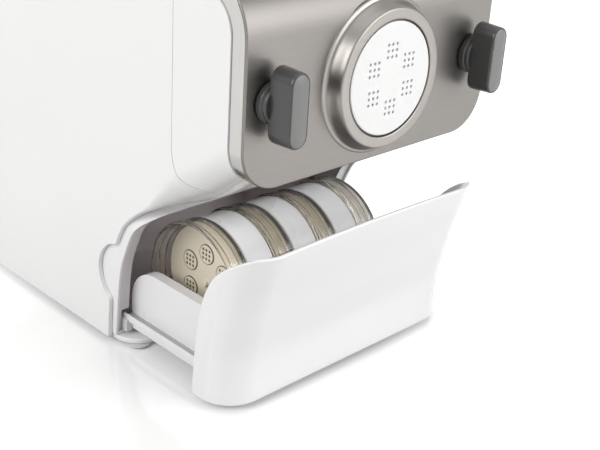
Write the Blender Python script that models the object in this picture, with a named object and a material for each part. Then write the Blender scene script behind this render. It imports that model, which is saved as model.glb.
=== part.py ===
"""Electric pasta maker with a storage drawer, built as separate named pieces.

Metres, +Z up, front towards -Y. The origin lies on the table, in the middle of the
closed machine. The drawer is modelled in its open place.
"""
import math

import bmesh
import bpy
from mathutils import Matrix, Vector

# Overall sizes
drive_length = 0.106
body_width = 0.215
overall_depth = 0.343
overall_height = 0.315
knob_reach = 0.023
fit_gap = 0.0003
overrun = 0.004
half_width = body_width / 2
face_y = knob_reach - overall_depth / 2
rear_y = overall_depth / 2
body_depth = overall_depth - knob_reach
drive_front = body_depth - drive_length
lid_rise = 0.025
deck_height = overall_height - lid_rise
disc_drop = 0.0863
disc_height = deck_height - disc_drop

# Front panel: a bent metal plate with a turned-in edge
panel_drop = 0.0533
panel_bottom = disc_height - panel_drop
panel_side_inset = 0.0005
panel_corner = 0.027
panel_top_corner = 0.008
panel_depth = 0.012
panel_skin = 0.0015
bend_rise = 0.0343
bend_start = disc_height + bend_rise
bend_radius = 0.035
bend_angle = math.radians(55)
slope_length = 0.040
backplate_relief = 0.001
panel_half = half_width - panel_side_inset

# Raised ring round the shaping disc
disc_radius = 0.0352
bezel_gap = 0.0004
bezel_outer = 0.0418
ring_radius = 0.0485
ring_rise = 0.0104
ring_wall = 0.0015

# Side of the raised ring, as shares of its inward lean and of its rise
ring_shares = ((0.0, 0.08), (0.3, 0.16), (0.6, 0.5), (0.85, 0.93))

# Rear housing and collar
wall = 0.003
deck_corner = 0.010
body_bottom = 0.004
seam_depth = 0.061
parting_depth = 0.127
rear_round = 0.016
web_depth = 0.024
web_thick = 0.003
web_drop = 0.040
web_top = deck_height - web_drop
deck_hole_edge = 0.0105
deck_hole_half = half_width - deck_hole_edge
chamber_front = 0.066
chamber_back_gap = 0.004
chamber_rear = drive_front - chamber_back_gap
deck_hole_front = chamber_front
deck_hole_back_gap = 0.001
deck_hole_rear = chamber_rear + deck_hole_back_gap
ear_radius_share = 0.155
ear_radius = panel_bottom * ear_radius_share
ear_depth = 0.1138
ear_height_share = 0.3624
ear_height = panel_bottom * ear_height_share

# Underside of the body from the panel down to the table, as shares of depth and height
sweep_shares = (
    (0.000, 1.000), (0.154, 0.924), (0.328, 0.844), (0.503, 0.790), (0.634, 0.745),
    (0.747, 0.691), (0.855, 0.612), (0.923, 0.517), (0.952, 0.432), (0.986, 0.219),
)
sweep_corner_shares = (1.00, 0.89, 0.64, 0.36, 0.16, 0.08, 0.05, 0.04, 0.03, 0.03)

# Drawer bay liner
rim_depth = 0.1226
rim_drop = 0.0421
rim_crown = panel_bottom - rim_drop
rim_corner = 0.017
rim_wall = 0.0018
rim_recess = 0.002
frame_end = 0.140
bay_floor = 0.0025
bay_edge = 0.0145
bay_half = half_width - bay_edge
bay_ceiling_drop = 0.0078
bay_top = rim_crown - bay_ceiling_drop
bay_back_gap = 0.0005
bay_rear = drive_front - bay_back_gap
channel_edge = 0.0085
channel_half = half_width - channel_edge
channel_top = 0.0235

# Front edge of the liner, as shares of its depth and height
rim_shares = (
    (1.000, 0.000), (0.995, 0.095), (0.979, 0.330), (0.964, 0.458), (0.943, 0.566),
    (0.889, 0.723), (0.858, 0.796), (0.817, 0.858), (0.770, 0.909), (0.667, 1.000),
)

# Base plate and feet
plate_edge = 0.0042
plate_half = half_width - plate_edge
plate_front = 0.1045
plate_back_edge = 0.0035
plate_rear = body_depth - plate_back_edge
plate_low = 0.0025
plate_thick = 0.0035
plate_corner = 0.020
foot_radius = 0.008
foot_stem = 0.003
foot_edge = 0.0145
foot_inset = half_width - foot_edge
foot_front = 0.112
foot_back_edge = 0.020
foot_back = body_depth - foot_back_edge

# Drawer: shared travel and the wrap-around front
drawer_travel = 0.087
drawer_wall = 0.003
drawer_bottom = 0.0035
drawer_top_share = 0.7846
drawer_top = panel_bottom * drawer_top_share
drawer_corner = 0.025
drawer_front_depth = 0.093
drawer_flare = 0.020
drawer_gap = 0.001
drawer_dip = 0.003
drawer_crown = 0.0028
crown_shares = (-1.2, -1.0, -0.75, -0.5, -0.25, 0.0, 0.25, 0.5, 0.75, 1.0, 1.2)

# Drawer front's lean, as shares of its height and of the flare
flare_shares = (
    (0.00, 0.00), (0.15, 0.02), (0.30, 0.07), (0.40, 0.17), (0.50, 0.30),
    (0.60, 0.42), (0.70, 0.56), (0.80, 0.72), (0.90, 0.87), (1.00, 1.00),
)

# Drawer tray
tray_edge = 0.0175
tray_half = half_width - tray_edge
tray_wall = 0.0075
tray_sheet = 0.0025
tray_face = 0.0963
tray_face_edge = 0.008
tray_face_half = tray_half - tray_face_edge
tray_front = 0.0978
tray_back_gap = 0.0025
tray_rear = bay_rear - tray_back_gap
tray_low = 0.0091
tray_side_share = 0.5077
tray_side_top = tray_low + (bay_top - tray_low) * tray_side_share
tray_end_share = 0.3381
tray_end_top = tray_low + (bay_top - tray_low) * tray_end_share
tray_corner = 0.017
flange_edge = 0.0105
flange_half = half_width - flange_edge
flange_front = 0.103
flange_low = 0.018
flange_thick = 0.003
cradle_width = 0.006
side_space = 0.0315
divider_place = tray_half - side_space
divider_share = 0.2287
divider_top = tray_low + (bay_top - tray_low) * divider_share
runner_edge = 0.0135
runner_half = half_width - runner_edge
runner_low = 0.0105
rail_thick = 0.0044
rail_front = 0.118

# Storage cases and the discs in them
case_count = 4
case_rest = 0.014
case_head_room = 0.0015
case_front_room = 0.0197
case_rear_room = 0.0085
case_room_high = bay_top - case_rest - case_head_room
case_room_long = tray_rear - tray_front - case_front_room - case_rear_room
case_radius = min(case_room_high, case_room_long) / 2
case_height = case_rest + case_radius
case_centre_depth = tray_front + case_front_room + case_radius
cradle_share = 0.4706
cradle_offset = case_radius * cradle_share
case_wall = 0.0016
case_length = 0.016
case_lip = 0.0006
case_lip_length = 0.002
case_end_gap = 0.010
case_start = case_end_gap - tray_half
case_end_room = 0.004
case_row = divider_place - case_end_room - case_length - case_start
case_pitch = case_row / (case_count - 1)
stored_play = 0.001
stored_length = case_pitch - case_length - stored_play
stored_inset = 0.0009
stored_radius = case_radius - stored_inset
stored_face_inset = 0.0075
stored_face = case_radius - stored_face_inset
short_disc_inset = 0.0025
short_disc_radius = case_radius - short_disc_inset
stored_face_step = 0.0012
stored_wall = 0.003
short_disc_length = 0.011

# Shaping disc and its holes
disc_body_radius = 0.038
disc_back = 0.003
disc_front = 0.0099
disc_plate = 0.006
disc_rim = 0.005
hole_radius = 0.00095
hole_pitch = 0.0038
hole_sides = 4
group_count = 6
group_radius = 0.0175
group_turn = math.radians(3)
grid_steps = (-1, 0, 1)

# Extruding tube
tube_bore = 0.018
tube_outer = 0.021
cup_inner = 0.0383
cup_outer = 0.0403
cup_floor = 0.0095
cup_back = 0.012
tube_rear = 0.067

# Mixing chamber
chamber_wall = 0.0025
chamber_radius = 0.0545
chamber_shoulder_drop = 0.050
chamber_shoulder = deck_height - chamber_shoulder_drop
chamber_flare_drop = 0.020
chamber_flare_top = deck_height - chamber_flare_drop
mouth_edge = 0.0155
chamber_mouth_half = half_width - mouth_edge
chamber_top = deck_height - wall
chamber_arc_steps = 12

# Kneading screw
screw_front = 0.005
screw_flight_end = 0.058
screw_end = 0.072
screw_core = 0.008
screw_flight = 0.0172
screw_hub = 0.0095
screw_pitch = 0.026
screw_step = math.radians(30)
screw_socket = 0.052
fin_angle_shares = (-0.5, -0.15, 0.15, 0.5)
fin_width = math.radians(72)
core_points = 6

# Drive shaft, mixing paddle and what carries them
shaft_radius = 0.006
shaft_front = 0.054
paddle_front = 0.073
paddle_back_gap = 0.007
paddle_rear = chamber_rear - paddle_back_gap
paddle_hub = 0.010
paddle_reach = 0.047
arm_width = 0.010
arm_thick = 0.007
blade_length = 0.024
blade_thick = 0.006
arm_count = 4
arm_margin = 0.020
seal_radius = 0.0090
bearing_radius = 0.013
rear_bearing_radius = 0.011
rear_bearing_length = 0.005
seal_front_reach = 0.0035
seal_back_reach = 0.0025
seal_front = chamber_rear - seal_front_reach
seal_rear = chamber_rear + seal_back_reach
bearing_lead = 0.0002
bearing_front = drive_front - bearing_lead

# Chassis: shelf under the chamber and bulkhead behind it
chassis_half = half_width - wall - fit_gap
shelf_thick = 0.003
bulkhead_front = drive_front
bulkhead_thick = 0.0035
bulkhead_foot = 0.0037
bulkhead_low = rim_crown + bulkhead_foot
bulkhead_drop = 0.011
bulkhead_top = deck_height - bulkhead_drop

# Gearbox
gearbox_gap = 0.0005
case_front = bulkhead_front + bulkhead_thick + gearbox_gap
gearbox_length = 0.021
case_rear = case_front + gearbox_length
case_shell = 0.0025
case_top_radius = 0.050
case_low_radius = 0.036
case_arc_steps = 10
cover_thick = 0.0027
bearing_rear = case_front + case_shell + fit_gap
shaft_tail = 0.0055
shaft_rear = case_rear + shaft_tail
gear_output_teeth = 42
gear_small_teeth = 14
gear_big_teeth = 56
gear_pinion_teeth = 14
coarse_module = 0.002
fine_module = 0.00125
coarse_inset = 0.004
coarse_front = case_front + coarse_inset
coarse_width = 0.007
coarse_rear = coarse_front + coarse_width
gear_lead = 0.0008
small_front = coarse_front - gear_lead
fine_gap = 0.001
fine_front = coarse_rear + fine_gap
fine_width = 0.0065
fine_rear = fine_front + fine_width
idler_pin_radius = 0.004
tooth_outline_shares = ((-0.31, -1.20), (-0.09, 0.85), (0.09, 0.85), (0.31, -1.20))

# Motor and fan
motor_front = case_rear + fit_gap + cover_thick + fit_gap
motor_length = 0.0537
motor_rear = motor_front + motor_length
motor_radius = 0.036
stator_bore = 0.024
motor_web = 0.003
armature_radius = 0.0225
armature_inset = 0.0077
armature_front = motor_front + armature_inset
armature_back = 0.006
armature_rear = motor_rear - armature_back
motor_shaft_radius = 0.003
motor_shaft_front = fine_front - gear_lead
fan_gap = 0.0025
fan_front = motor_rear + fan_gap
fan_length = 0.0085
fan_rear = fan_front + fan_length
motor_shaft_tail = 0.002
motor_shaft_rear = fan_rear + motor_shaft_tail
fan_hub = 0.008
fan_radius = 0.032
fan_blades = 7
fan_blade_thick = 0.002
fan_twist = math.radians(35)
cradle_inset = 0.0137
cradle_front = motor_front + cradle_inset
cradle_length = 0.028
cradle_rear = cradle_front + cradle_length
cradle_half = 0.026
cradle_wrap = 0.012

# Circuit board
board_edge = 0.0375
board_half = half_width - board_edge
board_thick = 0.0016
board_low_drop = 0.034
board_low = deck_height - board_low_drop
board_top_drop = 0.012
board_top = deck_height - board_top_drop

# Rear wall fittings
grille_half = 0.040
grille_low = 0.070
grille_top = 0.140
grille_bars = 9
grille_bar_share = 0.55
grille_margin = 0.006
grille_thick = 0.003
inlet_edge = 0.0275
inlet_x = half_width - inlet_edge
inlet_height = 0.032
inlet_radius = 0.009
inlet_bore = 0.004
inlet_length = 0.010

# Knobs
knob_edge = 0.0195
knob_x = half_width - knob_edge
hub_radius = 0.0108
hub_length = 0.006
tab_height = 0.043
tab_width = 0.014
tab_base_grow = 0.0015
knob_clearance = 0.0008
stud_radius = 0.004
stud_depth = 0.030
stud_bury = 0.012

# Controls on the sloping top of the panel
strip_edge = 0.0325
strip_half = half_width - strip_edge
strip_width = 0.026
strip_round = 0.006
strip_proud = 0.0008
strip_depth = 0.009
display_place_share = 0.5067
display_x = -strip_half * display_place_share
display_half_share = 0.4
display_half = strip_half * display_half_share
display_width = 0.018
display_thick = 0.0020
display_proud = 0.0003
button_names = ("power_button", "program_button", "extrude_button", "start_button")
button_start_share = 0.1333
button_start_x = strip_half * button_start_share
button_pitch_share = 0.24
button_pitch = strip_half * button_pitch_share
button_radius_share = 0.3611
button_radius = button_pitch * button_radius_share
button_gap = 0.00035
button_proud = 0.0018
button_length = 0.0075

# Lid and hinge
lid_edge = 0.008
lid_half = half_width - lid_edge
lid_front_edge = 0.0035
lid_front = deck_hole_front - lid_front_edge
lid_back_edge = 0.002
lid_rear = deck_hole_rear + lid_back_edge
lid_corner = 0.014
lid_wall = 0.0025
lid_height_shares = (0.0, 0.40, 0.68, 0.86, 0.96, 1.0)
lid_inset_shares = (0.0, 0.05, 0.20, 0.45, 0.70, 1.0)
lid_crown_inset = 0.030
slot_half = 0.035
slot_width = 0.007
slot_depth = 0.092
lip_half = 0.022
lip_reach = 0.005
lip_thick = 0.004
hinge_back = 0.0045
hinge_depth = lid_rear + hinge_back
hinge_rise = 0.0045
pin_radius = 0.002
knuckle_radius = 0.0042
bracket_half = 0.018
knuckle_half = 0.038
pin_half = 0.040
side_gap = 0.0004

weld_distance = 0.00001
round_steps = 36
case_steps = 24
small_steps = 16
foot_steps = 12
corner_steps = 4
drawer_steps = 6


def depth(distance):
    """World Y of a place measured back from the panel's face."""
    return face_y + distance


def clear_scene():
    for item in list(bpy.data.objects):
        bpy.data.objects.remove(item, do_unlink=True)


def paint(name, colour, roughness, metallic=0.0, clear=0.0):
    material = bpy.data.materials.get(name)
    if material is None:
        material = bpy.data.materials.new(name)
        material.use_nodes = True
        shader = material.node_tree.nodes["Principled BSDF"]
        shader.inputs["Base Color"].default_value = (*colour, 1.0)
        shader.inputs["Roughness"].default_value = roughness
        shader.inputs["Metallic"].default_value = metallic
        shader.inputs["Transmission Weight"].default_value = clear
    return material


def add_object(name, bm):
    """Turns a mesh into an object with its faces looking out."""
    bmesh.ops.remove_doubles(bm, verts=bm.verts, dist=weld_distance)
    bmesh.ops.recalc_face_normals(bm, faces=bm.faces)
    mesh = bpy.data.meshes.new(name)
    bm.to_mesh(mesh)
    bm.free()
    item = bpy.data.objects.new(name, mesh)
    bpy.context.scene.collection.objects.link(item)
    return item


def finish(item, name, material, origin=(0, 0, 0)):
    """Names a piece, sets its origin on its axis and gives it its colour."""
    item.name = name
    item.data.name = name
    item.data.transform(Matrix.Translation(-Vector(origin)))
    item.location = origin
    item.data.materials.clear()
    item.data.materials.append(paint(name, *material))
    item.data.shade_smooth()
    item.data.set_sharp_from_angle(angle=math.radians(32))
    return item


def combine(target, tool, operation):
    """Cuts or joins two meshes and keeps the result on the first."""
    modifier = target.modifiers.new(operation.title(), "BOOLEAN")
    modifier.operation = operation
    modifier.solver = "EXACT"
    modifier.object = tool
    graph = bpy.context.evaluated_depsgraph_get()
    mesh = bpy.data.meshes.new_from_object(target.evaluated_get(graph))
    target.modifiers.clear()
    bm = bmesh.new()
    bm.from_mesh(mesh)
    bmesh.ops.remove_doubles(bm, verts=bm.verts, dist=weld_distance)
    bmesh.ops.dissolve_degenerate(bm, edges=bm.edges, dist=weld_distance)
    bm.to_mesh(mesh)
    bm.free()
    target.data = mesh
    bpy.data.objects.remove(tool, do_unlink=True)
    return target


def cut(target, *tools):
    for tool in tools:
        combine(target, tool, "DIFFERENCE")
    return target


def join(target, *tools):
    for tool in tools:
        combine(target, tool, "UNION")
    return target


def keep(target, tool):
    return combine(target, tool, "INTERSECT")


def loft(sections):
    """Skins a row of closed sections that have the same number of points."""
    bm = bmesh.new()
    rings = []
    for section in sections:
        verts = [bm.verts.new(point) for point in section]
        edges = [bm.edges.new((a, b)) for a, b in zip(verts, verts[1:] + verts[:1])]
        rings.append((verts, edges))
    for (_, lower), (_, upper) in zip(rings, rings[1:]):
        bmesh.ops.bridge_loops(bm, edges=lower + upper)
    bm.faces.new(rings[0][0])
    bm.faces.new(rings[-1][0])
    return add_object("loft", bm)


def prism(outline, axis, start, end):
    """Extrudes a flat outline along X, Y or Z."""
    place = {
        "X": lambda a, b: (start, a, b),
        "Y": lambda a, b: (a, start, b),
        "Z": lambda a, b: (a, b, start),
    }[axis]
    reach = {"X": (1, 0, 0), "Y": (0, 1, 0), "Z": (0, 0, 1)}[axis]
    bm = bmesh.new()
    face = bm.faces.new([bm.verts.new(place(a, b)) for a, b in outline])
    top = bmesh.ops.extrude_face_region(bm, geom=[face])["geom"]
    moved = [part for part in top if isinstance(part, bmesh.types.BMVert)]
    bmesh.ops.translate(bm, verts=moved, vec=Vector(reach) * (end - start))
    return add_object("prism", bm)


def box(x0, x1, y0, y1, z0, z1):
    return prism([(x0, z0), (x1, z0), (x1, z1), (x0, z1)], "Y", y0, y1)


def turned(outline, centre, axis="Y", steps=round_steps):
    """Turns an outline of (radius, place along the axis) about an axis through centre."""
    direction = {"X": Vector((1, 0, 0)), "Y": Vector((0, 1, 0)), "Z": Vector((0, 0, 1))}[axis]
    side = {"X": Vector((0, 1, 0)), "Y": Vector((1, 0, 0)), "Z": Vector((1, 0, 0))}[axis]
    bm = bmesh.new()
    verts = [bm.verts.new(Vector(centre) + side * r + direction * t) for r, t in outline]
    edges = [bm.edges.new((a, b)) for a, b in zip(verts, verts[1:] + verts[:1])]
    axis_edges = [e for e in edges if all(abs(outline[verts.index(v)][0]) < fit_gap / 10 for v in e.verts)]
    kept = [e for e in edges if e not in axis_edges]
    bmesh.ops.delete(bm, geom=axis_edges, context="EDGES")
    kept = [e for e in kept if e.is_valid]
    bmesh.ops.spin(
        bm, geom=kept + list(bm.verts), cent=centre, axis=direction,
        angle=2 * math.pi, steps=steps, use_merge=True, use_duplicate=False,
    )
    return add_object("turned", bm)


def rod(radius, centre, start, end, axis="Y", steps=small_steps):
    return turned([(0, start), (radius, start), (radius, end), (0, end)], centre, axis, steps)


def tube(inner, outer, centre, start, end, axis="Y", steps=round_steps):
    return turned([(inner, start), (outer, start), (outer, end), (inner, end)], centre, axis, steps)


def arc(centre, radius, start, end, steps):
    """Points along an arc, angles in radians, both ends included."""
    angles = [start + (end - start) * i / steps for i in range(steps + 1)]
    return [(centre[0] + radius * math.cos(a), centre[1] + radius * math.sin(a)) for a in angles]


def rounded_outline(half, low, high, low_corner, high_corner, steps=corner_steps):
    """Rounded rectangle in X and Z, symmetric in X."""
    quarter = math.pi / 2
    return (
        arc((half - low_corner, low + low_corner), low_corner, -quarter, 0, steps)
        + arc((half - high_corner, high - high_corner), high_corner, 0, quarter, steps)
        + arc((high_corner - half, high - high_corner), high_corner, quarter, 2 * quarter, steps)
        + arc((low_corner - half, low + low_corner), low_corner, 2 * quarter, 3 * quarter, steps)
    )


def rounded_plan(half, front, back, corner, steps=corner_steps):
    return rounded_outline(half, front, back, corner, corner, steps)


def section_at(y, outline):
    return [(x, y, z) for x, z in outline]


# The body's outer form


def sweep_points():
    """Depth, height and corner of the body's underside, front to back."""
    run = parting_depth - panel_depth - fit_gap
    points = []
    for (along, up), corner in zip(sweep_shares, sweep_corner_shares):
        points.append((panel_depth + fit_gap + run * along, panel_bottom * up, panel_corner * corner))
    points.append((parting_depth, body_bottom, panel_corner * sweep_corner_shares[-1]))
    return points


def underside(distance):
    """Height and corner of the underside at a depth."""
    points = sweep_points()
    if distance <= points[0][0]:
        return points[0][1], points[0][2]
    for (d0, z0, r0), (d1, z1, r1) in zip(points, points[1:]):
        if distance <= d1:
            share = (distance - d0) / (d1 - d0)
            return z0 + (z1 - z0) * share, r0 + (r1 - r0) * share
    return points[-1][1], points[-1][2]


def body_loft(start, end, inset=0.0, floor=None, rear_closed=False):
    """The body's outer form between two depths, drawn in by inset."""
    stations = [start]
    stations += [d for d, _, _ in sweep_points() if start < d < end]
    if rear_closed:
        stations.append(end - rear_round)
    else:
        stations.append(end)
    sections = []
    for distance in stations:
        low, corner = underside(distance)
        low = low + inset if floor is None else floor
        corner = max(corner - inset, fit_gap)
        high_corner = deck_corner - inset
        outline = rounded_outline(half_width - inset, low, deck_height - inset, corner, high_corner)
        sections.append(section_at(depth(distance), outline))
    if rear_closed:
        low = body_bottom + inset if floor is None else floor
        for step in range(1, corner_steps + 1):
            angle = math.pi / 2 * step / corner_steps
            draw_in = inset + rear_round * (1 - math.cos(angle))
            place = end - rear_round + rear_round * math.sin(angle)
            corner = deck_corner + rear_round * (1 - math.cos(angle)) * 0.5
            outline = rounded_outline(
                half_width - draw_in, low, deck_height - draw_in, fit_gap, corner - inset * 0.5)
            sections.append(section_at(depth(place), outline))
    return loft(sections)


def panel_path(along, inward):
    """Depth and height on the panel at a length up its face, inward from its face."""
    straight = bend_start - panel_bottom
    curve = bend_radius * bend_angle
    radius = bend_radius - inward
    if along <= straight:
        return inward, panel_bottom + along
    if along <= straight + curve:
        angle = (along - straight) / bend_radius
        return bend_radius - radius * math.cos(angle), bend_start + radius * math.sin(angle)
    rest = along - straight - curve
    return (
        bend_radius - radius * math.cos(bend_angle) + rest * math.sin(bend_angle),
        bend_start + radius * math.sin(bend_angle) + rest * math.cos(bend_angle),
    )


panel_length = bend_start - panel_bottom + bend_radius * bend_angle + slope_length


def panel_slab(inset, near, far):
    """A bent slab with the panel's outline drawn in by inset."""
    half = panel_half - inset
    low_corner = panel_corner - inset
    high_corner = max(panel_top_corner - inset, fit_gap)
    rows = []
    for step in range(corner_steps + 1):
        angle = math.pi / 2 * step / corner_steps
        rows.append((inset + low_corner * (1 - math.cos(angle)), half - low_corner * (1 - math.sin(angle))))
    straight = bend_start - panel_bottom
    for step in range(corner_steps + 1):
        rows.append((straight + bend_radius * bend_angle * step / corner_steps, half))
    for step in range(corner_steps + 1):
        angle = math.pi / 2 * step / corner_steps
        reach = panel_length - inset - high_corner * (1 - math.sin(angle))
        rows.append((reach, half - high_corner * (1 - math.cos(angle))))
    sections = []
    for along, width in rows:
        near_y, near_z = panel_path(along, near)
        far_y, far_z = panel_path(along, far)
        sections.append([
            (-width, depth(near_y), near_z), (width, depth(near_y), near_z),
            (width, depth(far_y), far_z), (-width, depth(far_y), far_z),
        ])
    return loft(sections)


def slope_frame(x, along, outward):
    """World point on the panel's sloping top: across, up the slope, out of the face."""
    start = panel_length - slope_length
    y, z = panel_path(start + along, 0)
    y -= outward * math.cos(bend_angle)
    z += outward * math.sin(bend_angle)
    return Vector((x, depth(y), z))


slope_out = Vector((0, -math.cos(bend_angle), math.sin(bend_angle)))
slope_up = Vector((0, math.sin(bend_angle), math.cos(bend_angle)))


def slope_prism(outline, low, high):
    """Extrudes an outline, given across and along the slope, out of the slope."""
    bm = bmesh.new()
    face = bm.faces.new([bm.verts.new(slope_frame(x, slope_length / 2 + t, low)) for x, t in outline])
    top = bmesh.ops.extrude_face_region(bm, geom=[face])["geom"]
    moved = [part for part in top if isinstance(part, bmesh.types.BMVert)]
    bmesh.ops.translate(bm, verts=moved, vec=slope_out * (high - low))
    return add_object("slope prism", bm)


def shifted(outline, x):
    return [(a + x, b) for a, b in outline]


def circle_outline(radius, steps=small_steps):
    return arc((0, 0), radius, 0, 2 * math.pi * (steps - 1) / steps, steps - 1)


disc_centre = (0, face_y, disc_height)


# White and metal shells of the body


def make_front_panel():
    panel = cut(panel_slab(0, 0, panel_depth), panel_slab(panel_skin, panel_skin, panel_depth + overrun))
    mouth = ring_radius - 3 * ring_wall
    inner = disc_radius + bezel_gap
    lean = ring_radius - bezel_outer
    skirt = [(ring_radius - lean * draw, -ring_rise * rise) for draw, rise in ring_shares]
    outline = [(0, panel_skin / 2), (ring_radius, panel_skin / 2)] + skirt
    outline += [(bezel_outer, -ring_rise), (0, -ring_rise)]
    join(panel, turned(outline, disc_centre, steps=2 * small_steps))
    throat = [
        (0, panel_skin + overrun), (mouth, panel_skin + overrun), (mouth, -panel_skin),
        (bezel_outer - ring_wall, ring_wall - ring_rise), (inner, ring_wall - ring_rise),
        (inner, -ring_rise - overrun), (0, -ring_rise - overrun),
    ]
    cut(panel, turned(throat, disc_centre, steps=2 * small_steps))
    for side in (-1, 1):
        centre = (side * knob_x, face_y, disc_height)
        cut(panel, rod(stud_radius + fit_gap, centre, -overrun, panel_skin + overrun))
    cut(panel, slope_prism(
        rounded_outline(strip_half + fit_gap, -strip_width / 2 - fit_gap, strip_width / 2 + fit_gap,
                        strip_round, strip_round), -panel_skin - overrun, overrun))
    return finish(panel, "front_panel", ((0.39, 0.36, 0.33), 0.32, 1.0))


def make_backplate():
    near = panel_skin + fit_gap
    plate = panel_slab(near, near, panel_depth - backplate_relief)
    cut(plate, rod(ring_radius, disc_centre, -overrun, panel_depth + overrun, steps=round_steps))
    for side in (-1, 1):
        centre = (side * knob_x, face_y, disc_height)
        cut(plate, rod(stud_radius + fit_gap, centre, -overrun, panel_depth + overrun))
    cut(plate, slope_prism(
        rounded_outline(strip_half + fit_gap, -strip_width / 2 - fit_gap, strip_width / 2 + fit_gap,
                        strip_round, strip_round), -panel_depth - overrun, overrun))
    return finish(plate, "panel_backplate", ((0.55, 0.55, 0.56), 0.5))


def panel_envelope():
    """Everything in front of the panel's back surface, as a cutter."""
    rows = [step * panel_length / (4 * corner_steps) for step in range(4 * corner_steps + 1)]
    back = [panel_path(along, panel_depth + fit_gap) for along in rows]
    end_y, end_z = panel_path(panel_length + fit_gap, panel_depth + fit_gap)
    tip_y, tip_z = panel_path(panel_length + fit_gap, -overrun)
    outline = [(back[0][0], 0)] + back[1:] + [(end_y, end_z), (tip_y, tip_z)]
    outline += [(tip_y, overall_height), (-panel_depth, overall_height), (-panel_depth, 0)]
    return prism([(depth(y), z) for y, z in outline], "X", -body_width, body_width)


def make_collar():
    start = panel_depth + fit_gap
    collar = body_loft(start, seam_depth)
    cut(collar, body_loft(start - overrun, seam_depth + overrun, inset=wall))
    low, corner = underside(web_depth)
    outline = rounded_outline(half_width - wall / 2, low + wall / 2, web_top, corner, deck_corner)
    web = prism(outline, "Y", depth(web_depth), depth(web_depth + web_thick))
    cut(web, rod(cup_outer + wall, disc_centre, 0, seam_depth, steps=round_steps))
    join(collar, web)
    cut(collar, panel_envelope())
    for side in (-1, 1):
        centre = (side * knob_x, face_y, disc_height)
        cut(collar, rod(stud_radius + fit_gap, centre, 0, seam_depth))
    return finish(collar, "front_collar", ((0.86, 0.86, 0.87), 0.22))


def ear_cutter(side):
    """Finger scoop in one side wall, behind the drawer's edge."""
    centre = (0, depth(ear_depth), ear_height)
    start = half_width - wall - fit_gap
    ends = sorted((side * start, side * (half_width + overrun)))
    return rod(ear_radius, centre, ends[0], ends[1], axis="X", steps=round_steps)


def make_main_housing():
    start = seam_depth + fit_gap
    housing = body_loft(start, body_depth, rear_closed=True)
    cut(housing, body_loft(start - overrun, body_depth - wall, inset=wall, rear_closed=True))
    bay = rounded_outline(half_width - wall, -overrun, rim_crown + fit_gap, fit_gap, rim_corner)
    cut(housing, prism(bay, "Y", depth(start - overrun), depth(body_depth - wall)))
    cut(housing, box(-deck_hole_half, deck_hole_half, depth(deck_hole_front), depth(deck_hole_rear),
                     deck_height - wall - overrun, deck_height + overrun))
    gap = fit_gap
    cut(housing, box(-grille_half - gap, grille_half + gap, depth(body_depth - wall - overrun),
                     depth(body_depth + overrun), grille_low - gap, grille_top + gap))
    inlet = (inlet_x, depth(body_depth), inlet_height)
    cut(housing, rod(inlet_radius + gap, inlet, -inlet_length, overrun))
    for side in (-1, 1):
        cut(housing, ear_cutter(side))
    return finish(housing, "main_housing", ((0.86, 0.86, 0.87), 0.22))


def make_base_plate():
    front = [(-plate_half + plate_corner, depth(plate_front + plate_corner)),
             (plate_half - plate_corner, depth(plate_front + plate_corner))]
    quarter = math.pi / 2
    outline = arc(front[0], plate_corner, 2 * quarter, 3 * quarter, corner_steps)
    outline += arc(front[1], plate_corner, 3 * quarter, 4 * quarter, corner_steps)
    back_half = plate_half - rear_round / 2
    outline += [(plate_half, depth(plate_rear - rear_round)), (back_half, depth(plate_rear - rear_round / 3)),
                (-back_half, depth(plate_rear - rear_round / 3)), (-plate_half, depth(plate_rear - rear_round))]
    plate = prism(outline, "Z", plate_low, plate_low + plate_thick)
    for x, y in foot_places():
        cut(plate, rod(foot_stem + fit_gap, (x, y, 0), 0, body_bottom + plate_thick, axis="Z"))
    return finish(plate, "base_plate", ((0.62, 0.62, 0.63), 0.45))


def foot_places():
    return [(x, depth(y)) for y in (foot_front, foot_back) for x in (-foot_inset, foot_inset)]


def make_feet():
    names = ("foot_front_left", "foot_front_right", "foot_rear_left", "foot_rear_right")
    pad_top = plate_low - fit_gap
    stem_top = plate_low + plate_thick
    outline = [(0, 0), (foot_radius - pad_top / 3, 0), (foot_radius, pad_top / 3), (foot_radius, pad_top),
               (foot_stem, pad_top), (foot_stem, stem_top), (0, stem_top)]
    for name, (x, y) in zip(names, foot_places()):
        foot = turned(outline, (x, y, 0), axis="Z", steps=foot_steps)
        finish(foot, name, ((0.35, 0.35, 0.36), 0.85))


# Drawer bay


def rim_curve(back=0.0):
    """Depth and height along the liner's front edge, table to crown."""
    low = plate_low + plate_thick + fit_gap
    return [(rim_depth * along + back, low + (rim_crown - low) * up) for along, up in rim_shares]


def ahead_of_rim(back, reach):
    """Everything in front of the rim curve moved back, as a cutter."""
    outline = [(0, 0)] + [(rim_curve(back)[0][0], 0)] + rim_curve(back)
    outline += [(rim_curve(back)[-1][0], rim_crown + overrun), (0, rim_crown + overrun)]
    return prism([(depth(y), z) for y, z in outline], "X", -reach, reach)


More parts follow.
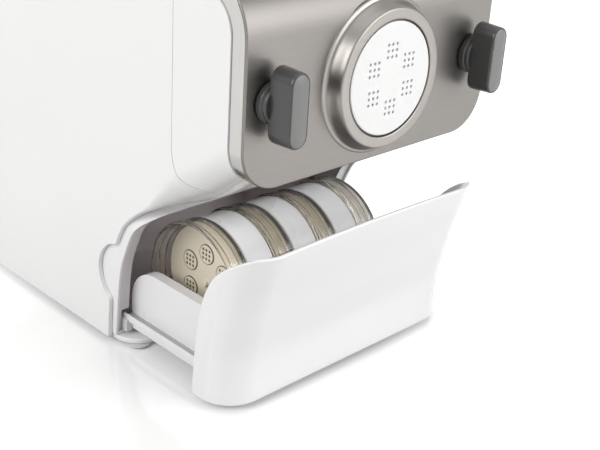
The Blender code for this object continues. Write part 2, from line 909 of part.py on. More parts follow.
def make_bay_liner():
    low = plate_low + plate_thick + fit_gap
    frame_half = half_width - wall - fit_gap
    front = rim_depth * rim_shares[-1][0] - overrun
    liner = prism(rounded_outline(frame_half, low, rim_crown, fit_gap, rim_corner), "Y",
                  depth(front), depth(frame_end))
    cut(liner, ahead_of_rim(0, body_width))
    recess = prism(rounded_outline(frame_half - rim_wall, low + bay_floor, rim_crown - rim_wall, fit_gap,
                                   rim_corner - rim_wall), "Y", depth(front - overrun), depth(frame_end - overrun))
    keep(recess, ahead_of_rim(rim_recess, body_width))
    cut(liner, recess)
    tunnel_wall = bay_floor
    back = bay_rear + tunnel_wall
    join(liner, box(-bay_half - tunnel_wall, bay_half + tunnel_wall, depth(frame_end - overrun), depth(back),
                    low, bay_top + tunnel_wall))
    join(liner, box(-channel_half - tunnel_wall, channel_half + tunnel_wall, depth(frame_end - overrun),
                    depth(back), low, channel_top + tunnel_wall))
    cut(liner, box(-bay_half, bay_half, depth(front - overrun), depth(bay_rear), low + bay_floor, bay_top))
    cut(liner, box(-channel_half, channel_half, depth(front - overrun), depth(bay_rear),
                   low + bay_floor, channel_top))
    return finish(liner, "bay_liner", ((0.60, 0.59, 0.60), 0.35))


def make_drawer_rails():
    low = plate_low + plate_thick + fit_gap + bay_floor + fit_gap
    high = flange_low - fit_gap
    inner = runner_half + fit_gap
    for name, side in (("drawer_rail_left", -1), ("drawer_rail_right", 1)):
        ends = sorted((side * inner, side * (inner + rail_thick)))
        rail = box(ends[0], ends[1], depth(rail_front), depth(bay_rear - fit_gap), low, high)
        finish(rail, name, ((0.45, 0.45, 0.47), 0.3, 1.0))


# Drawer: everything is drawn shut and then moved out by its travel


def drawer_origin():
    return (0, depth(drawer_front_depth - drawer_travel), drawer_bottom)


def pull_out(item, name, material):
    item.data.transform(Matrix.Translation((0, -drawer_travel, 0)))
    return finish(item, name, material, drawer_origin())


def flare_at(height_share):
    for (z0, f0), (z1, f1) in zip(flare_shares, flare_shares[1:]):
        if height_share <= z1:
            return f0 + (f1 - f0) * (height_share - z0) / (z1 - z0)
    return flare_shares[-1][1]


def drawer_plan(height, inset, back):
    """Plan outline of the drawer front at a height, drawn in by inset."""
    lean = drawer_flare * flare_at((height - drawer_bottom) / (drawer_top - drawer_bottom))
    front = drawer_front_depth - lean + inset
    half = half_width - inset
    corner = drawer_corner - inset
    quarter = math.pi / 2
    outline = [(-half, back)]
    outline += arc((corner - half, front + corner), corner, 2 * quarter, 3 * quarter, drawer_steps)
    outline += arc((half - corner, front + corner), corner, 3 * quarter, 4 * quarter, drawer_steps)
    outline += [(half, back)]
    return [(x, depth(y), height) for x, y in outline]


def drawer_block(inset, back, low, high):
    heights = [drawer_bottom + (drawer_top - drawer_bottom) * z for z, _ in flare_shares]
    heights = [low] + [z for z in heights if low < z < high] + [high]
    return loft([drawer_plan(z, inset, back) for z in heights])


def behind_parting():
    """Everything behind and above the body's front edge, as a cutter."""
    curve = [(d - drawer_gap, z - drawer_gap) for d, z, _ in sweep_points()]
    outline = [(d, z) for d, z in curve[:-1]] + [(curve[-1][0], -overrun)]
    outline += [(parting_depth + drawer_corner, -overrun), (parting_depth + drawer_corner, panel_bottom)]
    return prism([(depth(y), z) for y, z in outline], "X", -body_width, body_width)


def above_rim():
    """Everything above the front's gently arched top edge, as a cutter."""
    level = drawer_top - drawer_dip
    edge = [(half_width * share, level - drawer_crown * share ** 2) for share in crown_shares]
    high = drawer_top + 2 * overrun
    outline = edge + [(edge[-1][0], high), (edge[0][0], high)]
    return prism(outline, "Y", depth(-overrun), depth(parting_depth))


def make_drawer_front():
    back = parting_depth + overrun
    front = drawer_block(0, back, drawer_bottom, drawer_top)
    cut(front, drawer_block(drawer_wall, back + overrun, drawer_bottom - overrun, drawer_top + overrun))
    cut(front, behind_parting())
    cut(front, above_rim())
    return pull_out(front, "drawer_front", ((0.88, 0.88, 0.89), 0.2))


def tray_side_outline():
    quarter = math.pi / 2
    rear = depth(tray_rear)
    corner = (rear - tray_corner, tray_side_top - tray_corner)
    return ([(depth(tray_front), tray_low), (rear, tray_low)]
            + arc(corner, tray_corner, 0, quarter, corner_steps)
            + [(depth(tray_front), tray_side_top)])


def make_drawer_tray():
    tray = box(-tray_half, tray_half, depth(tray_front), depth(tray_rear), tray_low, tray_low + tray_sheet)
    for side in (-1, 1):
        ends = sorted((side * tray_half, side * (tray_half - tray_wall)))
        join(tray, prism(tray_side_outline(), "X", ends[0], ends[1]))
        flange = sorted((side * flange_half, side * (tray_half - tray_sheet)))
        join(tray, box(flange[0], flange[1], depth(flange_front), depth(tray_rear),
                       flange_low, flange_low + flange_thick))
        runner = sorted((side * runner_half, side * (tray_half - tray_sheet)))
        join(tray, box(runner[0], runner[1], depth(flange_front), depth(tray_rear), runner_low,
                       flange_low + flange_thick / 2))
    inner = tray_half - tray_sheet
    join(tray, box(-inner, inner, depth(tray_front), depth(tray_front + tray_sheet), tray_low, tray_end_top))
    join(tray, box(-tray_face_half, tray_face_half, depth(tray_face), depth(tray_front + tray_sheet / 2),
                   tray_low, tray_end_top - tray_sheet))
    join(tray, box(-inner, inner, depth(tray_rear - tray_sheet), depth(tray_rear), tray_low,
                   tray_side_top - tray_corner))
    floor = tray_low + tray_sheet / 2
    rise = math.sqrt((case_radius + case_lip) ** 2 - (cradle_offset - cradle_width / 2) ** 2)
    bar_top = case_height - rise - fit_gap
    for side in (-1, 1):
        middle = case_centre_depth + side * cradle_offset
        join(tray, box(-inner, divider_place + tray_sheet / 2, depth(middle - cradle_width / 2),
                       depth(middle + cradle_width / 2), floor, bar_top))
    join(tray, box(divider_place, divider_place + tray_sheet, depth(tray_front + tray_sheet / 2),
                   depth(tray_rear - tray_sheet / 2), floor, divider_top))
    return pull_out(tray, "drawer_tray", ((0.86, 0.86, 0.88), 0.25))


def case_centre():
    return (0, depth(case_centre_depth), case_height)


def make_storage_cases():
    for index in range(case_count):
        start = case_start + index * case_pitch
        end = start + case_length
        lip = case_radius + case_lip
        inner = case_radius - case_wall
        outline = [
            (0, end), (case_radius, end), (case_radius, start + case_lip_length), (lip, start + case_lip_length),
            (lip, start), (inner, start), (inner, end - case_wall), (0, end - case_wall),
        ]
        case = turned(outline, case_centre(), axis="X", steps=case_steps)
        pull_out(case, f"storage_case_{index + 1}", ((0.55, 0.47, 0.33), 0.08, 0.0, 0.8))


def make_stored_discs():
    for index in range(case_count - 1):
        start = case_start + index * case_pitch + case_length + fit_gap
        end = start + stored_length
        hollow = stored_radius - stored_wall
        outline = [
            (0, start), (stored_face, start), (stored_face, start + stored_face_step),
            (stored_radius, start + stored_face_step), (stored_radius, end), (hollow, end),
            (hollow, start + 2 * stored_wall), (0, start + 2 * stored_wall),
        ]
        disc = turned(outline, case_centre(), axis="X", steps=case_steps)
        pull_out(disc, f"stored_disc_{index + 1}", ((0.88, 0.88, 0.87), 0.25))
    start = case_start + (case_count - 1) * case_pitch + case_length - case_wall - fit_gap - short_disc_length
    hollow = short_disc_radius - stored_wall
    outline = [
        (0, start), (hollow, start), (hollow, start - stored_face_step), (short_disc_radius, start - stored_face_step),
        (short_disc_radius, start + short_disc_length), (0, start + short_disc_length),
    ]
    disc = turned(outline, case_centre(), axis="X", steps=case_steps)
    pull_out(disc, f"stored_disc_{case_count}", ((0.88, 0.88, 0.87), 0.25))


# Extruding head


def make_shaping_disc():
    step = ring_rise - ring_wall - fit_gap
    rim = disc_body_radius - disc_rim
    outline = [
        (0, -disc_front), (disc_radius, -disc_front), (disc_radius, -step), (disc_body_radius, -step),
        (disc_body_radius, disc_back), (rim, disc_back), (rim, disc_plate - disc_front),
        (0, disc_plate - disc_front),
    ]
    disc = turned(outline, disc_centre, steps=round_steps)
    bm = bmesh.new()
    for group in range(group_count):
        angle = group_turn + math.pi / 2 + 2 * math.pi * group / group_count
        middle = (group_radius * math.cos(angle), disc_height + group_radius * math.sin(angle))
        for column in grid_steps:
            for row in grid_steps:
                x = middle[0] + column * hole_pitch
                z = middle[1] + row * hole_pitch
                points = arc((x, z), hole_radius, 0, 2 * math.pi * (hole_sides - 1) / hole_sides, hole_sides - 1)
                face = bm.faces.new([bm.verts.new((a, depth(-disc_front - overrun), b)) for a, b in points])
                top = bmesh.ops.extrude_face_region(bm, geom=[face])["geom"]
                moved = [part for part in top if isinstance(part, bmesh.types.BMVert)]
                bmesh.ops.translate(bm, verts=moved, vec=(0, disc_plate + 2 * overrun, 0))
    cut(disc, add_object("holes", bm))
    return finish(disc, "shaping_disc", ((0.9, 0.9, 0.9), 0.3))


def make_extruding_tube():
    front = ring_wall + fit_gap - ring_rise
    outline = [
        (cup_inner, front), (cup_outer, front), (cup_outer, cup_back), (tube_outer, cup_back + overrun),
        (tube_outer, tube_rear), (tube_bore, tube_rear), (tube_bore, cup_floor), (cup_inner, cup_floor),
    ]
    return finish(turned(outline, disc_centre), "extruding_tube", ((0.82, 0.82, 0.83), 0.3))


def screw_section(angle, fin_radius, core_radius):
    """Cross-section of the screw: a round core with one fin, turned by angle."""
    points = []
    for share in fin_angle_shares:
        radius = core_radius if abs(share) > 0.3 else fin_radius
        points.append((radius, angle + fin_width * share))
    rest = 2 * math.pi - fin_width
    for index in range(1, core_points):
        points.append((core_radius, angle + fin_width / 2 + rest * index / core_points))
    return [(r * math.cos(a), disc_height + r * math.sin(a)) for r, a in points]


def make_kneading_screw():
    run = screw_flight_end - screw_front
    turns = run / screw_pitch * 2 * math.pi
    count = math.ceil(turns / screw_step)
    sections = []
    for index in range(count + 1):
        place = screw_front + run * index / count
        sections.append(section_at(depth(place), screw_section(turns * index / count, screw_flight, screw_core)))
    for place in (screw_flight_end + shaft_radius / 3, screw_end):
        sections.append(section_at(depth(place), screw_section(turns, screw_hub, screw_hub)))
    screw = loft(sections)
    cut(screw, rod(shaft_radius + fit_gap, disc_centre, screw_socket, screw_end + overrun))
    return finish(screw, "kneading_screw", ((0.82, 0.82, 0.83), 0.35), disc_centre)


def make_mixing_paddle():
    paddle = rod(paddle_hub, disc_centre, paddle_front, paddle_rear)
    run = paddle_rear - paddle_front - 2 * arm_margin
    for index in range(arm_count):
        middle = depth(paddle_front + arm_margin + run * index / (arm_count - 1))
        turn = Matrix.Rotation(math.pi / 4 + math.pi / 2 * index, 4, "Y")
        place = Matrix.Translation(Vector((0, middle, disc_height))) @ turn
        arm = box(-arm_thick / 2, arm_thick / 2, -arm_width / 2, arm_width / 2, paddle_hub / 2,
                  paddle_reach - blade_thick / 2)
        blade = box(-arm_thick, arm_thick, -blade_length / 2, blade_length / 2, paddle_reach - blade_thick,
                    paddle_reach)
        join(arm, blade)
        arm.data.transform(place)
        join(paddle, arm)
    cut(paddle, rod(shaft_radius + fit_gap, disc_centre, paddle_front - overrun, paddle_rear + overrun))
    return finish(paddle, "mixing_paddle", ((0.82, 0.82, 0.83), 0.35), disc_centre)


def make_drive_shaft():
    shaft = rod(shaft_radius, disc_centre, shaft_front, shaft_rear)
    return finish(shaft, "drive_shaft", ((0.6, 0.6, 0.62), 0.25, 1.0), disc_centre)


def chamber_outline(inset, top):
    radius = chamber_radius - inset
    mouth = chamber_mouth_half - inset
    return (arc((0, disc_height), radius, -math.pi, 0, chamber_arc_steps)
            + [(radius, chamber_shoulder), (mouth, chamber_flare_top), (mouth, top),
               (-mouth, top), (-mouth, chamber_flare_top), (-radius, chamber_shoulder)])


def make_mixing_chamber():
    chamber = prism(chamber_outline(0, chamber_top), "Y", depth(chamber_front), depth(chamber_rear))
    cut(chamber, prism(chamber_outline(chamber_wall, chamber_top + overrun), "Y",
                       depth(chamber_front + chamber_wall), depth(chamber_rear - chamber_wall)))
    cut(chamber, rod(tube_outer + fit_gap, disc_centre, seam_depth, chamber_front + chamber_wall + overrun,
                     steps=round_steps))
    cut(chamber, rod(seal_radius + fit_gap, disc_centre, chamber_rear - chamber_wall - overrun,
                     chamber_rear + overrun))
    return finish(chamber, "mixing_chamber", ((0.78, 0.79, 0.8), 0.2))


def make_shaft_rings():
    bore = shaft_radius + fit_gap
    seal = tube(bore, seal_radius, disc_centre, seal_front, seal_rear, steps=small_steps)
    finish(seal, "shaft_seal", ((0.3, 0.3, 0.31), 0.8))
    front = tube(bore, bearing_radius, disc_centre, bearing_front, bearing_rear, steps=small_steps)
    finish(front, "front_bearing", ((0.6, 0.6, 0.62), 0.3, 1.0))
    start = case_rear + fit_gap
    rear = tube(bore, rear_bearing_radius, disc_centre, start, start + rear_bearing_length, steps=small_steps)
    finish(rear, "rear_bearing", ((0.6, 0.6, 0.62), 0.3, 1.0))


def make_chassis():
    shelf_top = disc_height - chamber_radius - fit_gap
    shelf_start = seam_depth + 2 * wall
    chassis = box(-chassis_half, chassis_half, depth(shelf_start), depth(bulkhead_front + bulkhead_thick),
                  shelf_top - shelf_thick, shelf_top)
    join(chassis, box(-chassis_half, chassis_half, depth(bulkhead_front), depth(bulkhead_front + bulkhead_thick),
                      bulkhead_low, bulkhead_top))
    cut(chassis, rod(bearing_radius + fit_gap, disc_centre, chamber_rear, case_front + overrun))
    return finish(chassis, "chassis", ((0.5, 0.5, 0.52), 0.5))


# Gear train


idler_height = disc_height - coarse_module * (gear_output_teeth + gear_small_teeth) / 2
motor_height = idler_height - fine_module * (gear_big_teeth + gear_pinion_teeth) / 2


def gearbox_outline(inset):
    top = arc((0, disc_height), case_top_radius - inset, 0, math.pi, case_arc_steps)
    low = arc((0, motor_height), case_low_radius - inset, math.pi, 2 * math.pi, case_arc_steps)
    return top + low


def make_gearbox():
    case = prism(gearbox_outline(0), "Y", depth(case_front), depth(case_rear))
    cut(case, prism(gearbox_outline(case_shell), "Y", depth(case_front + case_shell), depth(case_rear + overrun)))
    cut(case, rod(bearing_radius + fit_gap, disc_centre, case_front - overrun, case_front + overrun))
    idler = (0, face_y, idler_height)
    cut(case, rod(idler_pin_radius + fit_gap, idler, case_front - overrun, case_front + overrun))
    finish(case, "gearbox_case", ((0.2, 0.2, 0.21), 0.5))
    start = case_rear + fit_gap
    cover = prism(gearbox_outline(0), "Y", depth(start), depth(start + cover_thick))
    cut(cover, rod(rear_bearing_radius + fit_gap, disc_centre, case_rear, motor_rear))
    cut(cover, rod(idler_pin_radius + fit_gap, idler, case_rear, motor_rear))
    motor = (0, face_y, motor_height)
    cut(cover, rod(motor_shaft_radius + 2 * fit_gap, motor, case_rear, motor_rear))
    finish(cover, "gearbox_cover", ((0.2, 0.2, 0.21), 0.5))
    pin = rod(idler_pin_radius, idler, case_front + fit_gap, start + cover_thick)
    finish(pin, "idler_pin", ((0.6, 0.6, 0.62), 0.25, 1.0))


def gear_outline(teeth, module, turn, height):
    """Straight-sided teeth; turn sets where the first tooth points."""
    pitch_radius = teeth * module / 2
    pitch = 2 * math.pi / teeth
    points = []
    for tooth in range(teeth):
        for across, up in tooth_outline_shares:
            radius = pitch_radius + module * up
            angle = turn + pitch * (tooth + across)
            points.append((radius * math.cos(angle), height + radius * math.sin(angle)))
    return points


def make_gears():
    down = -math.pi / 2
    up = math.pi / 2
    output = prism(gear_outline(gear_output_teeth, coarse_module, down, disc_height), "Y",
                   depth(coarse_front), depth(coarse_rear))
    cut(output, rod(shaft_radius + fit_gap, disc_centre, case_front, case_rear))
    finish(output, "output_gear", ((0.75, 0.73, 0.66), 0.45), disc_centre)
    idler_centre = (0, face_y, idler_height)
    gap_up = up + math.pi / gear_small_teeth
    small = prism(gear_outline(gear_small_teeth, coarse_module, gap_up, idler_height), "Y",
                  depth(small_front), depth(fine_front + coarse_module / 2))
    big = prism(gear_outline(gear_big_teeth, fine_module, down, idler_height), "Y",
                depth(fine_front), depth(fine_rear))
    idler = join(big, small)
    cut(idler, rod(idler_pin_radius + fit_gap, idler_centre, case_front, case_rear))
    finish(idler, "idler_gear", ((0.75, 0.73, 0.66), 0.45), idler_centre)
    motor_centre = (0, face_y, motor_height)
    gap_up = up + math.pi / gear_pinion_teeth
    pinion = prism(gear_outline(gear_pinion_teeth, fine_module, gap_up, motor_height), "Y",
                   depth(fine_front), depth(fine_rear))
    cut(pinion, rod(motor_shaft_radius + fit_gap, motor_centre, case_front, case_rear))
    finish(pinion, "motor_pinion", ((0.6, 0.6, 0.62), 0.3, 1.0), motor_centre)


# Motor


def make_motor():
    centre = (0, face_y, motor_height)
    web_bore = motor_shaft_radius + 2 * fit_gap
    start = motor_front
    outline = [
        (web_bore, start), (motor_radius, start), (motor_radius, motor_rear), (stator_bore, motor_rear),
        (stator_bore, start + motor_web), (web_bore, start + motor_web),
    ]
    finish(turned(outline, centre), "motor_body", ((0.3, 0.3, 0.31), 0.4, 0.8))
    core = tube(motor_shaft_radius + fit_gap, armature_radius, centre, armature_front, armature_rear,
                steps=small_steps)
    finish(core, "armature", ((0.45, 0.28, 0.15), 0.4, 0.9), centre)
    shaft = rod(motor_shaft_radius, centre, motor_shaft_front, motor_shaft_rear)
    finish(shaft, "motor_shaft", ((0.6, 0.6, 0.62), 0.25, 1.0), centre)
    fan = rod(fan_hub, centre, fan_front, fan_rear)
    for index in range(fan_blades):
        blade = box(-fan_blade_thick / 2, fan_blade_thick / 2, -(fan_rear - fan_front) * 0.45,
                    (fan_rear - fan_front) * 0.45, fan_hub / 2, fan_radius)
        turn = Matrix.Rotation(2 * math.pi * index / fan_blades, 4, "Y")
        lean = Matrix.Rotation(fan_twist, 4, "Z")
        middle = Vector((0, depth((fan_front + fan_rear) / 2), motor_height))
        blade.data.transform(Matrix.Translation(middle) @ turn @ lean)
        join(fan, blade)
    cut(fan, rod(motor_shaft_radius + fit_gap, centre, fan_front - overrun, fan_rear + overrun))
    finish(fan, "cooling_fan", ((0.2, 0.2, 0.21), 0.5), centre)
    low = plate_low + plate_thick + fit_gap
    cradle = box(-cradle_half, cradle_half, depth(cradle_front), depth(cradle_rear), low,
                 motor_height - motor_radius + cradle_wrap)
    cut(cradle, rod(motor_radius + fit_gap, centre, motor_front, motor_rear, steps=round_steps))
    finish(cradle, "motor_cradle", ((0.5, 0.5, 0.52), 0.5))


def make_circuit_board():
    start = bulkhead_front + bulkhead_thick + fit_gap
    board = box(-board_half, board_half, depth(start), depth(start + board_thick), board_low, board_top)
    return finish(board, "circuit_board", ((0.05, 0.25, 0.12), 0.5))


def make_rear_fittings():
    start = body_depth - wall + fit_gap
    grille = box(-grille_half, grille_half, depth(start), depth(start + grille_thick - 2 * fit_gap),
                 grille_low, grille_top)
    pitch = (grille_top - grille_low - 2 * grille_margin) / grille_bars
    slot = pitch * grille_bar_share
    for index in range(grille_bars):
        low = grille_low + grille_margin + pitch * index + (pitch - slot) / 2
        cut(grille, box(grille_margin - grille_half, grille_half - grille_margin, depth(start - overrun),
                        depth(start + grille_thick + overrun), low, low + slot))
    finish(grille, "vent_grille", ((0.75, 0.75, 0.76), 0.35))
    centre = (inlet_x, face_y, inlet_height)
    end = body_depth - fit_gap
    inlet = tube(inlet_bore, inlet_radius, centre, end - inlet_length, end, steps=small_steps)
    finish(inlet, "power_inlet", ((0.7, 0.7, 0.71), 0.5))


# Knobs


def knob_section(distance, grow):
    height = tab_height + 2 * grow
    width = tab_width + 2 * grow
    radius = width / 2
    top = arc((0, disc_height + height / 2 - radius), radius, 0, math.pi, corner_steps)
    low = arc((0, disc_height - height / 2 + radius), radius, math.pi, 2 * math.pi, corner_steps)
    return section_at(depth(distance), top + low)


def make_knobs():
    for name, side in (("left", -1), ("right", 1)):
        axis = (side * knob_x, face_y, disc_height)
        edge = tab_base_grow
        rows = [(-knob_clearance - hub_length / 2, edge), (-hub_length, edge), (-knob_reach + edge, 0),
                (-knob_reach + edge / 4, -edge / 4), (-knob_reach, -edge)]
        tab = loft([knob_section(place, grow) for place, grow in rows])
        tab.data.transform(Matrix.Translation((side * knob_x, 0, 0)))
        outline = [(0, -hub_length - hub_length / 2), (hub_radius * 0.8, -hub_length - hub_length / 2),
                   (hub_radius, -hub_length), (hub_radius, -knob_clearance), (0, -knob_clearance)]
        join(tab, turned(outline, axis, steps=round_steps // 2))
        cut(tab, rod(stud_radius + fit_gap, axis, -stud_bury, overrun))
        finish(tab, f"knob_{name}", ((0.13, 0.13, 0.135), 0.35), axis)
        stud = rod(stud_radius, axis, fit_gap - stud_bury, stud_depth)
        finish(stud, f"knob_stud_{name}", ((0.6, 0.6, 0.62), 0.3, 1.0), axis)


# Controls


def make_controls():
    outline = rounded_outline(strip_half, -strip_width / 2, strip_width / 2, strip_round, strip_round)
    strip = slope_prism(outline, -strip_depth, strip_proud)
    window = rounded_outline(display_half, -display_width / 2, display_width / 2, strip_round / 4, strip_round / 4)
    grown = rounded_outline(display_half + fit_gap, -display_width / 2 - fit_gap, display_width / 2 + fit_gap,
                            strip_round / 4, strip_round / 4)
    seat = strip_proud - display_thick
    cut(strip, slope_prism(shifted(grown, display_x), seat, strip_proud + overrun))
    for index, name in enumerate(button_names):
        x = button_start_x + index * button_pitch
        cut(strip, slope_prism(shifted(circle_outline(button_radius + button_gap), x),
                               -strip_depth - overrun, strip_proud + overrun))
        top = strip_proud + button_proud
        button = slope_prism(shifted(circle_outline(button_radius), x), top - button_length, top)
        finish(button, name, ((0.75, 0.75, 0.76), 0.3), slope_frame(x, slope_length / 2, 0))
    finish(strip, "control_panel", ((0.08, 0.08, 0.085), 0.15))
    glass = slope_prism(shifted(window, display_x), seat + fit_gap, strip_proud + display_proud)
    finish(glass, "display_window", ((0.02, 0.02, 0.025), 0.05))


# Lid


def lid_block(inset, extra_low, extra_top):
    height = overall_height - deck_height - fit_gap
    sections = []
    for up, draw in zip(lid_height_shares, lid_inset_shares):
        z = deck_height + fit_gap + height * up - inset * (1 if up else 0) + extra_top * (up == 1.0)
        if up == 0:
            z -= extra_low
        grow = inset + lid_crown_inset * draw
        outline = rounded_plan(lid_half - grow, depth(lid_front + grow), depth(lid_rear - grow), lid_corner)
        sections.append([(x, y, z) for x, y in outline])
    return loft(sections)


def lid_axis():
    return (0, depth(hinge_depth), deck_height + hinge_rise)


def make_lid():
    lid = lid_block(0, 0, 0)
    low = deck_height + fit_gap
    centre = lid_axis()
    for side in (-1, 1):
        ends = sorted((side * (bracket_half + side_gap), side * knuckle_half))
        join(lid, box(ends[0] + side_gap, ends[1] - side_gap, depth(lid_rear - 2 * lid_wall), centre[1],
                      centre[2] - pin_radius, centre[2] + pin_radius))
        join(lid, rod(knuckle_radius, centre, ends[0], ends[1], axis="X"))
    join(lid, box(-lip_half, lip_half, depth(lid_front - lip_reach), depth(lid_front + 2 * lid_wall),
                  low, low + lip_thick))
    cut(lid, lid_block(lid_wall, overrun, 0))
    cut(lid, rod(pin_radius + fit_gap, centre, -half_width, half_width, axis="X"))
    cut(lid, box(-slot_half, slot_half, depth(slot_depth), depth(slot_depth + slot_width),
                 overall_height - 4 * lid_wall, overall_height + overrun))
    return finish(lid, "lid", ((0.8, 0.82, 0.84), 0.05, 0.0, 0.9), lid_axis())


def make_hinge():
    centre = lid_axis()
    low = deck_height + fit_gap
    bracket = box(-bracket_half, bracket_half, centre[1] - knuckle_radius * 0.5, centre[1] + 2 * knuckle_radius,
                  low, low + hinge_rise)
    join(bracket, rod(knuckle_radius - fit_gap, centre, -bracket_half, bracket_half, axis="X"))
    cut(bracket, rod(pin_radius + fit_gap, centre, -half_width, half_width, axis="X"))
    finish(bracket, "hinge_bracket", ((0.8, 0.8, 0.81), 0.3))
    pin = rod(pin_radius, centre, -pin_half, pin_half, axis="X")
    finish(pin, "hinge_pin", ((0.6, 0.6, 0.62), 0.25, 1.0))


def build():
    clear_scene()
    make_front_panel()
    make_backplate()
    make_collar()
    make_main_housing()
    make_base_plate()
    make_feet()
    make_bay_liner()
    make_drawer_rails()
    make_drawer_front()
    make_drawer_tray()
    make_storage_cases()
    make_stored_discs()
    make_shaping_disc()
    make_extruding_tube()
    make_kneading_screw()
    make_mixing_paddle()
    make_drive_shaft()
    make_mixing_chamber()
    make_shaft_rings()
    make_chassis()
    make_gearbox()
    make_gears()
    make_motor()
    make_circuit_board()
    make_rear_fittings()
    make_knobs()
    make_controls()
    make_lid()
    make_hinge()


build()
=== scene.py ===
import math

import bmesh
import bpy
from mathutils import Matrix, Vector


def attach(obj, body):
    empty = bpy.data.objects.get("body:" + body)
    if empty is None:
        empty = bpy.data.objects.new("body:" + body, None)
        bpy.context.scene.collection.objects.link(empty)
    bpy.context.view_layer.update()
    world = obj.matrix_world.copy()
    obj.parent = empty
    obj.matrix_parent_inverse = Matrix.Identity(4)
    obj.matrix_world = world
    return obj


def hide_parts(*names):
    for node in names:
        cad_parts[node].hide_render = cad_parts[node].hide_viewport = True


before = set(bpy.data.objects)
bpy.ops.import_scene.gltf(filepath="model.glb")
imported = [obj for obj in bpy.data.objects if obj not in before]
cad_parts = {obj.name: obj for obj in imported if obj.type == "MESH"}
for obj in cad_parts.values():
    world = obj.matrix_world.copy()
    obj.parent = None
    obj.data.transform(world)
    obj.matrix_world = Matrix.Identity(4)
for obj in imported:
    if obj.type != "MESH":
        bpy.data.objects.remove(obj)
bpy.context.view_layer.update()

# Shapes are drawn in millimetres: X across, Y back from the front panel's face,
# Z up from the table.
face_place = -0.1485
to_metres = Matrix.Translation((0, face_place, 0)) @ Matrix.Scale(0.001, 4)

half_width = 107.5
wall = 3.0
deck_height = 290.0
drawer_travel = 87.0
disc_height = 203.7
disc_centre = (0, 0, disc_height)
quarter = math.pi / 2

# Edge of the body, seen from the side: panel's foot to the table
body_edge = [
    (12.3, 150.4), (19.9, 146.0), (30.0, 139.0), (39.9, 132.5), (49.9, 127.0), (59.9, 122.7),
    (70.0, 118.8), (77.9, 115.7), (85.0, 112.0), (92.5, 107.9), (98.0, 104.0), (104.0, 99.0),
    (110.4, 92.0), (114.9, 84.0), (118.4, 76.0), (121.4, 65.0), (123.8, 50.0), (125.4, 33.0),
    (126.4, 19.0), (127.0, 4.0),
]
edge_corners = [(12.3, 27.0), (30.0, 27.0), (50.0, 26.0), (62.0, 22.0), (73.0, 13.0), (83.0, 4.5),
                (92.0, 1.8), (110.0, 1.0), (127.0, 0.8)]

# Bright front edge of the drawer bay, seen from the side
rim_edge = [
    (122.6, 6.3), (122.0, 16.0), (120.0, 40.0), (118.2, 53.0), (115.6, 64.0), (109.0, 80.0),
    (105.2, 87.5), (100.2, 93.8), (94.4, 99.0), (81.8, 108.3),
]


# Drawing helpers


def between(table, at):
    """Straight-line reading of a table of (place, value)."""
    for (a, va), (b, vb) in zip(table, table[1:]):
        if at <= b:
            share = min(1, max(0, (at - a) / (b - a)))
            return va + (vb - va) * share
    return table[-1][1]


def flowing(points, steps=4):
    """A smooth line through points."""
    ends = [points[0]] + list(points) + [points[-1]]
    line = []
    for p0, p1, p2, p3 in zip(ends, ends[1:], ends[2:], ends[3:]):
        for step in range(steps):
            t = step / steps
            line.append(tuple(
                0.5 * (2 * b + (c - a) * t + (2 * a - 5 * b + 4 * c - d) * t ** 2
                       + (3 * b - a - 3 * c + d) * t ** 3)
                for a, b, c, d in zip(p0, p1, p2, p3)))
    return line + [tuple(points[-1])]


def arc(across, up, radius, start, end, steps):
    turn = (end - start) / steps
    return [(across + radius * math.cos(start + turn * i), up + radius * math.sin(start + turn * i))
            for i in range(steps + 1)]


def rounded(half, low, high, low_radius, high_radius, steps=10):
    """Rounded rectangle, the same on both sides of X = 0."""
    return (arc(half - low_radius, low + low_radius, low_radius, -quarter, 0, steps)
            + arc(half - high_radius, high - high_radius, high_radius, 0, quarter, steps)
            + arc(high_radius - half, high - high_radius, high_radius, quarter, 2 * quarter, steps)
            + arc(low_radius - half, low + low_radius, low_radius, 2 * quarter, 3 * quarter, steps))


def circle(radius, steps=48, across=0, up=0):
    return arc(across, up, radius, 0, 2 * math.pi * (steps - 1) / steps, steps - 1)


def solid(bm):
    """A closed form as an object, ready for carving."""
    bmesh.ops.remove_doubles(bm, verts=bm.verts, dist=0.001)
    bmesh.ops.recalc_face_normals(bm, faces=bm.faces)
    mesh = bpy.data.meshes.new("form")
    bm.to_mesh(mesh)
    bm.free()
    form = bpy.data.objects.new("form", mesh)
    bpy.context.scene.collection.objects.link(form)
    return form


def skinned(sections):
    """A form stretched over a row of closed sections."""
    bm = bmesh.new()
    rings = []
    for section in sections:
        verts = [bm.verts.new(point) for point in section]
        rings.append([bm.edges.new(pair) for pair in zip(verts, verts[1:] + verts[:1])])
    for near, far in zip(rings, rings[1:]):
        bmesh.ops.bridge_loops(bm, edges=near + far)
    bmesh.ops.holes_fill(bm, edges=rings[0] + rings[-1])
    return solid(bm)


def pulled(outline, axis, start, end):
    """A flat outline pulled into a solid along X, Y or Z."""
    point_at = {"X": lambda a, b: (start, a, b),
                "Y": lambda a, b: (a, start, b),
                "Z": lambda a, b: (a, b, start)}[axis]
    way = {"X": (1, 0, 0), "Y": (0, 1, 0), "Z": (0, 0, 1)}[axis]
    bm = bmesh.new()
    face = bm.faces.new([bm.verts.new(point_at(a, b)) for a, b in outline])
    moved = bmesh.ops.extrude_face_region(bm, geom=[face])["geom"]
    verts = [part for part in moved if isinstance(part, bmesh.types.BMVert)]
    bmesh.ops.translate(bm, verts=verts, vec=Vector(way) * (end - start))
    return solid(bm)


def block(x0, x1, y0, y1, z0, z1):
    return pulled([(x0, z0), (x1, z0), (x1, z1), (x0, z1)], "Y", y0, y1)


